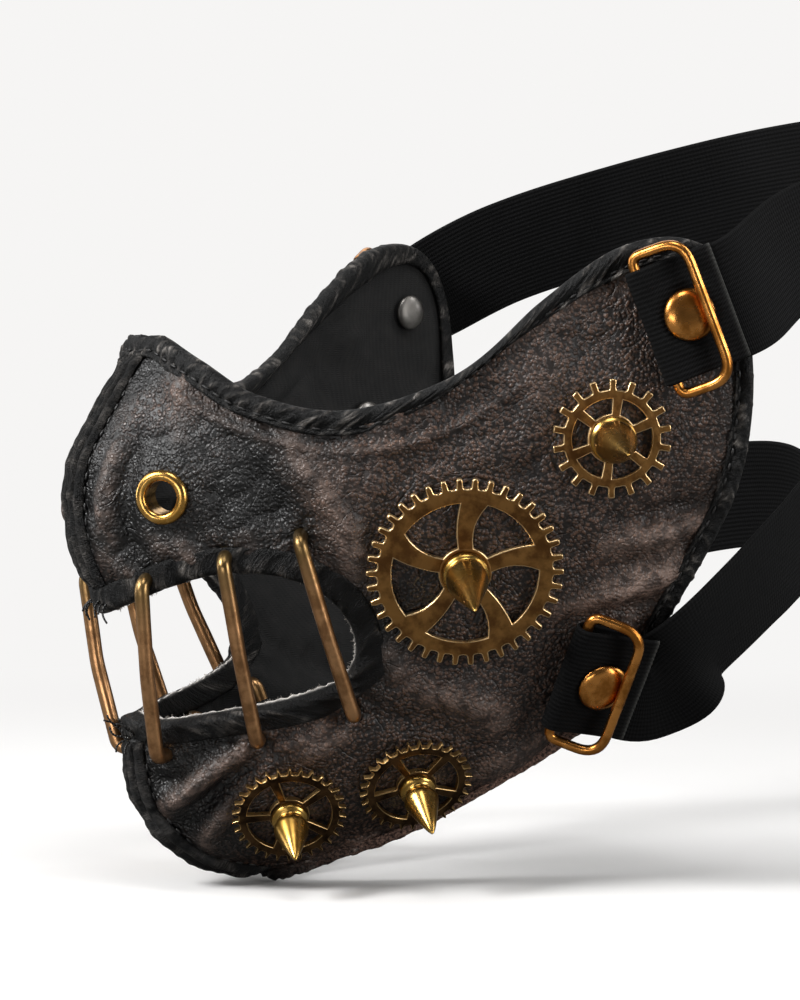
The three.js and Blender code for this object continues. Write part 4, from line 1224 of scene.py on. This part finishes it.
# %% Gears
def plate_mesh(name, loops, thickness, bevel):
    """A flat plate with holes and rounded edges, standing on z = 0, as a bmesh in mm."""
    curve = bpy.data.curves.new(name, "CURVE")
    curve.dimensions, curve.fill_mode = "2D", "BOTH"
    curve.extrude, curve.bevel_depth, curve.bevel_resolution = thickness / 2 - bevel, bevel, 2
    curve.offset = -bevel
    for loop in loops:
        spline = curve.splines.new("POLY")
        spline.points.add(len(loop) - 1)
        for point, (x, y) in zip(spline.points, loop):
            point.co = (x, y, 0, 1)
        spline.use_cyclic_u = True
    flat = bpy.data.objects.new(name, curve)
    bpy.context.scene.collection.objects.link(flat)
    seen_flat = flat.evaluated_get(bpy.context.evaluated_depsgraph_get())
    mesh = bpy.data.meshes.new_from_object(seen_flat)
    bm = bmesh.new()
    bm.from_mesh(mesh)
    bpy.data.objects.remove(flat)
    bpy.data.curves.remove(curve)
    bpy.data.meshes.remove(mesh)
    bmesh.ops.remove_doubles(bm, verts=bm.verts, dist=1e-4)
    bmesh.ops.recalc_face_normals(bm, faces=bm.faces)
    bmesh.ops.translate(bm, vec=(0, 0, thickness / 2), verts=bm.verts)
    return bm


for name, kind, at, turn, _ in GEAR_PLACES:
    gear = GEARS[kind]
    bm = plate_mesh(name, gear_loops(gear), GEAR_THICKNESS, gear["bevel"])
    edge = bm.verts.layers.float.new("edge")
    for point in bm.verts:
        middle = abs(point.co.z - GEAR_THICKNESS / 2) * 2 / GEAR_THICKNESS
        point[edge] = 1.0 if middle < 0.97 else 0.0
    open_edges = sum(e.is_boundary for e in bm.edges)
    bmesh.ops.scale(bm, vec=(MM, MM, MM), verts=bm.verts)
    hub = gear["hub"] / 2
    spun([(hub - 0.9, GEAR_THICKNESS - 0.1), (hub - 0.9, GEAR_THICKNESS + 0.12),
          (hub - 0.7, GEAR_THICKNESS + 0.22), (hub - 0.4, GEAR_THICKNESS + 0.22),
          (hub - 0.2, GEAR_THICKNESS + 0.12), (hub - 0.2, GEAR_THICKNESS - 0.1),
          (hub - 0.9, GEAR_THICKNESS - 0.1)], 40, bm)
    point, normal, _, _ = frame_at(at)
    place = standing(point + normal * GEAR_FOOT, normal, turn)
    bmesh.ops.transform(bm, matrix=place, verts=bm.verts)
    finish = dark_bronze if kind == "small" else gear_bronze
    plate = finish_mesh(bm, f"left_{name}_gear_plate", finish, sharp=38)
    print(name, "gear, open edges:", open_edges)
    settle_pair(plate, f"{name}_gear")

# %% [markdown]
# ## Spikes, screws, eyelets and washers
#
# All of these are round. The spikes are turned from bar: a collar, a narrow neck and a long
# head that tapers to a blunt point. Each is a profile spun round its axis, with extra points
# where an edge is rounded. Screws from the inside hold the spikes, and show their heads.

# %% Spikes
SPIKES = {
    "long": [
        (0, 0), (4.4, 0), (4.86, 0.12), (5, 0.45), (5, 1.6), (4.88, 1.9), (4.5, 2.15),
        (4.22, 2.45), (4.2, 2.75), (4.36, 3.2), (4.48, 3.8), (4.48, 4.6), (4.32, 5.8),
        (3.95, 7.6), (3.4, 9.8), (2.7, 12.6), (2.0, 15.3), (1.25, 18.2), (0.72, 20.3),
        (0.42, 21.4), (0.22, 21.85), (0.08, 21.98), (0, 22),
    ],
    "short": [
        (0, 0), (3.7, 0), (3.94, 0.1), (4, 0.35), (4, 1.15), (3.85, 1.45), (3.4, 1.68),
        (3.0, 1.95), (2.86, 2.3), (2.9, 2.75), (3.15, 3.2), (3.5, 3.65), (3.74, 4.1),
        (3.8, 4.6), (3.66, 5.3), (3.2, 6.8), (2.55, 8.9), (1.8, 11.2), (1.05, 13.3),
        (0.5, 14.5), (0.25, 14.86), (0.08, 14.98), (0, 15),
    ],
}
SPIKE_FOOT = GEAR_FOOT + GEAR_THICKNESS + 0.22
for name, _, at, _, kind in GEAR_PLACES:
    point, normal, _, _ = frame_at(at)
    place = standing(point + normal * SPIKE_FOOT, normal)
    turned_pair(f"{name}_turned_spike", SPIKES[kind], 48, place, spike_brass, 50,
                f"{name}_spike")


# %% Fittings inside the mask
def inside_seat(at, radius):
    """How deep a flat piece sits inside, so that its rim clears the curved lining."""
    point, normal, _, _ = frame_at(at)
    step = 0.01
    beside = skin(np.array([at[0] + step, at[0]]), np.array([at[1], at[1] + step]))
    per_around, per_down = np.linalg.norm(beside - point, axis=1) / step
    angles = np.linspace(0, 2 * math.pi, 13)
    ring = skin(at[0] + radius * np.cos(angles) / per_around,
                at[1] + radius * np.sin(angles) / per_down)
    return INSIDE - 0.8 - max(0, ((point - ring) @ normal).max())


HEAD_RADIUS, HEAD_HEIGHT = 4.2, 1.1
for name, _, at, _, _ in GEAR_PLACES:
    point, normal, _, _ = frame_at(at)
    top = inside_seat(at, HEAD_RADIUS)
    low = top - HEAD_HEIGHT
    reach = SPIKE_FOOT + 2
    turned_pair(f"{name}_steel_screw", [
        (0, low - 0.35), (1.6, low - 0.3), (3.0, low - 0.1), (3.9, low + 0.25), (4.2, low + 0.65),
        (4.2, top - 0.05), (4.1, top), (SCREW_RADIUS, top), (SCREW_RADIUS, reach), (0, reach),
    ], 32, standing(point, normal), plain_steel, 40, f"{name}_screw")

# %% Eyelets
point, normal, _, _ = frame_at(EYELET_AT)
washer_top = inside_seat(EYELET_AT, 5.9) - GAP
washer_low = washer_top - 1
turned_pair("rolled_eyelet", [
    (3.5, washer_low), (4.1, washer_low), (4.1, 0.05), (5.5, 0.02), (5.8, 0.25), (5.92, 0.7),
    (5.8, 1.15), (5.45, 1.55), (4.95, 1.82), (4.4, 1.88), (3.95, 1.7), (3.65, 1.35),
    (3.52, 0.85), (3.5, 0.2), (3.5, washer_low),
], 56, standing(point, normal), eyelet_brass, 45, "eyelet")
turned_pair("inner_washer", [
    (4.15, washer_low), (5.4, washer_low), (5.8, washer_low + 0.2), (5.9, washer_low + 0.5),
    (5.85, washer_top), (4.3, washer_top), (4.15, washer_low),
], 48, standing(point, normal), eyelet_brass, 45, "eyelet_washer")

# %% [markdown]
# ## Mouth bars and strap rings
#
# Both are bent wire: straight runs joined by bends. The centre line is worked out from its
# corners, each corner rounded, and a round section is carried along it. Hand-bent rods are
# not quite even, so their thickness wavers by a few hundredths of a millimetre.

# %% Wire
BAR_RADIUS, BAR_BEND, BAR_CLINCH, BAR_BOW, BAR_PROUD = 1.6, 2.4, 4.5, 1.2, 3.6


def rounded_line(corners, bends, spacing=0.7, bend_steps=7):
    """Spots along the line through corners, with each inner corner rounded."""
    spots = [corners[0]]
    for before, corner, after, bend in zip(corners, corners[1:], corners[2:], bends):
        start = corner + unit(before - corner) * bend
        end = corner + unit(after - corner) * bend
        runs = max(1, int(np.linalg.norm(start - spots[-1]) / spacing))
        from_spot = spots[-1]
        spots += [from_spot + (start - from_spot) * i / runs for i in range(1, runs + 1)]
        for i in range(1, bend_steps + 1):
            t = i / bend_steps
            spots.append(start * (1 - t) ** 2 + corner * 2 * t * (1 - t) + end * t ** 2)
    runs = max(1, int(np.linalg.norm(corners[-1] - spots[-1]) / spacing))
    last = spots[-1]
    spots += [last + (corners[-1] - last) * i / runs for i in range(1, runs + 1)]
    return np.array(spots)


def frames_along(line, first_side):
    """Directions along a line, and a side direction carried along it without twist."""
    along = unit(np.gradient(line, axis=0))
    sides = [unit(first_side - along[0] * (first_side @ along[0]))]
    for heading in along[1:]:
        side = sides[-1] - heading * (sides[-1] @ heading)
        sides.append(unit(side))
    sides = np.array(sides)
    return along, sides, np.cross(along, sides)


def wire_mesh(line, radius, first_side, sides=14, waver=0.0, seed=0, values=None):
    along, side, other = frames_along(line, first_side)
    steps = len(line) - 1

    def place(u, v):
        i = np.rint(u * steps).astype(int)
        angle = 2 * np.pi * v
        beat = waver * noise_at(np.stack([u * 9, np.full_like(u, 0.5), u * 0], axis=1), 1.0, seed)
        wide = (radius + beat)[:, None]
        round_line = np.cos(angle)[:, None] * side[i] + np.sin(angle)[:, None] * other[i]
        return line[i] + wide * round_line

    return bent_grid(steps, sides, place, closed=True, values=values)


# %% Mouth bars
def aged_at(u, v):
    """Bars are darkest where they go into the leather."""
    return 0.75 * (1 - ease(0.16, 0.42, u)) + 0.35 * ease(0.84, 0.93, u)


for seed, (name, upper, lower) in enumerate(BARS):
    above, below = frame_at(upper), frame_at(lower)
    sunk = INSIDE - TAPE - GAP - BAR_RADIUS
    top, foot = above[0] + above[1] * BAR_PROUD, below[0] + below[1] * BAR_PROUD
    middle = (top + foot) / 2 + above[1] * BAR_BOW
    inner_top, inner_foot = above[0] + above[1] * sunk, below[0] + below[1] * sunk
    corners = [
        inner_top + above[3] * BAR_CLINCH, inner_top, top, middle,
        foot, inner_foot, inner_foot - below[3] * BAR_CLINCH,
    ]
    line = rounded_line(corners, [BAR_BEND] * 5)
    bm = wire_mesh(line, BAR_RADIUS, above[2], 18, 0.07, seed, {"aged": aged_at})
    rod = finish_mesh(bm, f"left_{name}_mouth_rod", bar_brass, sharp=60)
    settle_pair(rod, f"{name}_mouth_bar")

# %% [markdown]
# ## Elastic straps
#
# Each strap is one length of 25.4 mm ribbed elastic. Its end goes through the ring, folds
# back over its front bar and is held by a rivet. It is woven flat with about 25 ribs, so the
# ribs are real ridges in its section and the fine cross threads are a bump 0.6 mm apart. A
# simulation isn't needed, because the strap is held taut round a head: it follows the line of
# the CAD strap.

# %% Elastic finish
STRAP_RUN, CROSS_PITCH = 340, 0.6      # the length that the UV map spans, and the threads, in mm
elastic, tree, coords = start_finish("ribbed_black_elastic")
cross_threads = add_node(tree, "TexWave", {
    "Vector": add_node(tree, "UVMap", uv_map="UVMap"), "Scale": WAVE * STRAP_RUN / CROSS_PITCH,
    "Distortion": 0.8, "Detail": 2.0, "Detail Scale": 3.0,
}, "Fac", wave_type="BANDS", bands_direction="X")
fuzz, weathered = (
    add_node(tree, "TexNoise", {
        "Vector": coords, "Scale": 1 / size, "Detail": 3.0, "Roughness": roughness,
    })
    for size, roughness in ((0.0005, 0.7), (0.02, 0.55))
)
rib, cut = (
    add_node(tree, "Attribute", out="Fac", attribute_name=name) for name in ("rib", "cut")
)
woven = add_node(tree, "Math", [fuzz, 0.8, cross_threads], **TIMES_PLUS)
faded = add_node(tree, "MapRange", [weathered, 0.3, 0.7, 0.5, 1.0], **SMOOTH)
rib = add_node(tree, "Math", [rib, faded], **TIMES)
colour = add_node(tree, "Mix", {
    0: rib, 6: to_linear("#030303"), 7: to_linear("#0f0f10"),
}, **COLOURS)
colour = add_node(tree, "Mix", {0: cut, 6: colour, 7: to_linear("#4a4a48")}, **COLOURS)
end_finish(tree, {
    "Base Color": colour,
    "Roughness": 0.85,
    "Specular IOR Level": 0.12,
    "Normal": add_node(tree, "Bump", {"Height": woven, "Distance": 0.08 * MM, "Strength": 0.7}),
})

# %% Strap ends
STRAP_WIDTH, STRAP_THICKNESS, STRAP_END, STRAP_PITCH, STRAP_STANDOFF = 25.4, 1.1, 9.3, 0.07, 1.5
WIRE_RADIUS, RING_LENGTH, RING_DEPTH = 1.15, 31, 12
RING_FRONT_CORNER, RING_REAR_CORNER, RING_BUTT = 2.4, 5.4, 0.25
BAR_AHEAD, FLAP_SLOPE, TAB_FLAT = 7.3, 0.14, 13
RIVET_RADIUS, RIVET_DOME, RIVET_STEM = 5.6, 1.9, 1.6
HALF = STRAP_THICKNESS / 2
FOLD = WIRE_RADIUS + GAP + HALF
print("a strap end folds back at a radius of", round(FOLD, 2), "mm")


def turned_about(vector, axis, angle):
    return np.array(Quaternion(Vector(axis), angle) @ Vector(vector))


class StrapTab:
    """The flat end of a strap: a runs towards the rear and h away from the leather."""

    def __init__(self, at, turn):
        self.point, self.normal, rearward, upward = frame_at(at)
        flat = rearward * math.cos(turn) + upward * math.sin(turn)
        self.across = unit(np.cross(self.normal, flat))
        self.rear = turned_about(flat, self.across, -STRAP_PITCH)
        self.out = np.cross(self.rear, self.across)
        self.bar_height = HALF + FOLD
        self.peak = self.bar_height + FOLD / math.cos(FLAP_SLOPE)
        self.rivet = self.place(0, self.flap_top(0))
        self.rivet_axis = turned_about(self.out, self.across, FLAP_SLOPE)

    def place(self, a, h):
        return self.point + self.normal * STRAP_STANDOFF + self.rear * a + self.out * h

    def flap_top(self, a):
        return self.peak - (a + BAR_AHEAD) * math.tan(FLAP_SLOPE)

    def folded_end(self):
        """From the cut end, forward along the flap, round the bar and back to the rivet."""
        spots = [self.place(a, self.flap_top(a)) for a in np.linspace(STRAP_END, -6.6, 24)]
        steps = 12
        for i in range(steps + 1):
            angle = math.pi / 2 - FLAP_SLOPE + (math.pi + FLAP_SLOPE) * i / steps
            spots.append(self.place(-BAR_AHEAD + FOLD * math.cos(angle),
                                    self.bar_height + FOLD * math.sin(angle)))
        spots += [self.place(a, HALF) for a in np.linspace(-6.2, 0, 9)]
        return spots


def flip(spot):
    return np.asarray(spot) * (-1, 1, 1)


# %% Straps
RIBS = 25
RIB_STEPS = 4         # points across one rib
RIB_HEIGHT = 0.16
LOOP_STEPS = 170
FLAP_STEPS = 24       # spots along each folded-back flap


def strap_piece(name, tab, rear_across, route):
    tab_end = tab.place(TAB_FLAT, HALF)
    stops = [tab.place(0, HALF), tab_end, *[np.array(stop, float) for stop in route]]
    stops += [flip(stop) for stop in stops[-2::-1]]
    loop = curve_at(np.array(stops), np.linspace(0, 1, LOOP_STEPS + 1))
    start = tab.folded_end()
    line = np.array([*start[:-1], *loop, *[flip(spot) for spot in start[-2::-1]]])
    lead = len(start) - 1
    shares = np.clip((np.arange(len(line)) - lead) / LOOP_STEPS, 0, 1)[:, None]
    rear_across, right_across = np.array(rear_across, float), flip(tab.across)
    first = tab.across + (rear_across - tab.across) * ease(0, 0.5, shares)
    second = rear_across + (right_across - rear_across) * ease(0.5, 1, shares)
    across = np.where(shares < 0.5, first, second)
    along = unit(np.gradient(line, axis=0))
    across = unit(across - along * np.sum(across * along, axis=1, keepdims=True))
    thick = np.cross(along, across)
    steps = len(line) - 1
    rivets = [tab.rivet, flip(tab.rivet)]

    def section(v):
        """Round the strap: along the top face, then back along the bottom face."""
        side = np.where(v < 0.5, 1.0, -1.0)
        run = np.where(v < 0.5, v * 2, 2 - v * 2)
        rib = 0.5 - 0.5 * np.cos(2 * np.pi * RIBS * run)
        edge = np.sqrt(np.clip(1 - (np.abs(run - 0.5) * 2) ** 40, 0, 1))
        return (run - 0.5) * STRAP_WIDTH, side * (HALF - RIB_HEIGHT * (1 - rib)) * edge, rib

    def place(u, v):
        i = np.rint(u * steps).astype(int)
        wide, height, _ = section(v)
        spots = line[i] + wide[:, None] * across[i] + height[:, None] * thick[i]
        waver = 0.16 * noise_at(spots, 9, 31)
        spots += thick[i] * waver[:, None]
        for rivet in rivets:
            away = np.linalg.norm(spots - rivet, axis=1)
            dip = -0.45 * np.exp(-(away / 5.2) ** 2) + 0.3 * np.exp(-((away - 7.2) / 1.6) ** 2)
            spots -= thick[i] * (dip * ((i < FLAP_STEPS) | (i > steps - FLAP_STEPS)))[:, None]
        return spots

    def rib_at(u, v):
        return section(v)[2]

    def cut_at(u, v):
        return 0.8 * np.clip(1 - np.minimum(u, 1 - u) * steps / 1.2, 0, 1)

    rows = 2 * RIBS * RIB_STEPS
    bm = bent_grid(steps, rows, place, closed=True, values={"rib": rib_at, "cut": cut_at})
    length = np.linalg.norm(np.diff(line, axis=0), axis=1).sum()
    print(name, "strap is", round(length), "mm long between its cut ends")
    return finish_mesh(bm, f"{name}_elastic_strap", elastic, sharp=70)


tabs = {}
for name, at, turn, rear_across, route in STRAPS:
    tabs[name] = StrapTab(at, turn)
    strap = strap_piece(name, tabs[name], rear_across, route)
    settle(strap, [f"{name}_strap"])
    print(strap.name, len(strap.data.polygons), "faces")

# %% Rings
nearest = RING_DEPTH - BAR_AHEAD - WIRE_RADIUS
dome_there = RIVET_DOME * math.sqrt(1 - (nearest / RIVET_RADIUS) ** 2)
RING_LIFT = math.asin(
    (GAP + dome_there + GAP + WIRE_RADIUS + WIRE_RADIUS + GAP + STRAP_THICKNESS) / RING_DEPTH
)
for name, tab in tabs.items():
    back = turned_about(tab.rear, tab.across, FLAP_SLOPE - RING_LIFT)
    bar = tab.place(-BAR_AHEAD, tab.bar_height)
    half = RING_LENGTH / 2
    corners = [
        bar + tab.across * along + back * depth for along, depth in (
            (RING_BUTT, 0), (half, 0), (half, RING_DEPTH), (-half, RING_DEPTH),
            (-half, 0), (-RING_BUTT, 0),
        )
    ]
    bends = [RING_FRONT_CORNER, RING_REAR_CORNER, RING_REAR_CORNER, RING_FRONT_CORNER]
    line = rounded_line(corners, bends, 0.8, 9)
    bm = wire_mesh(line, WIRE_RADIUS, tab.out, 16, 0.03, 4)
    ring = finish_mesh(bm, f"left_{name}_wire_ring", ring_copper, sharp=60)
    settle_pair(ring, f"{name}_ring", moving=True)

# %% Rivets
for name, at, _, _, _ in STRAPS:
    tab = tabs[name]
    foot = HALF + 0.1
    point, normal, _, _ = frame_at(at)
    cap_top = inside_seat(at, 4.2)
    depth = float((tab.rivet - point - normal * cap_top) @ tab.rivet_axis)
    place = standing(tab.rivet, tab.rivet_axis)
    turned_pair(f"{name}_domed_rivet", [
        (0, -depth - 0.4), (RIVET_STEM, -depth - 0.4), (RIVET_STEM, foot), (5.1, foot - 0.1),
        (5.5, foot), (5.62, foot + 0.22), (5.55, foot + 0.55), (5.1, foot + 1.1),
        (4.3, foot + 1.55), (3.2, foot + 1.86), (2.0, foot + 2.02), (0.9, foot + 2.08),
        (0, foot + 2.1),
    ], 48, place, ring_copper, 45, f"{name}_rivet")
    turned_pair(f"{name}_rivet_cap", [
        (0, -depth - 1.45), (1.8, -depth - 1.4), (3.2, -depth - 1.15), (4.0, -depth - 0.7),
        (4.2, -depth - 0.3), (4.1, -depth), (0, -depth),
    ], 36, place, plain_steel, 45, f"{name}_rivet_back")
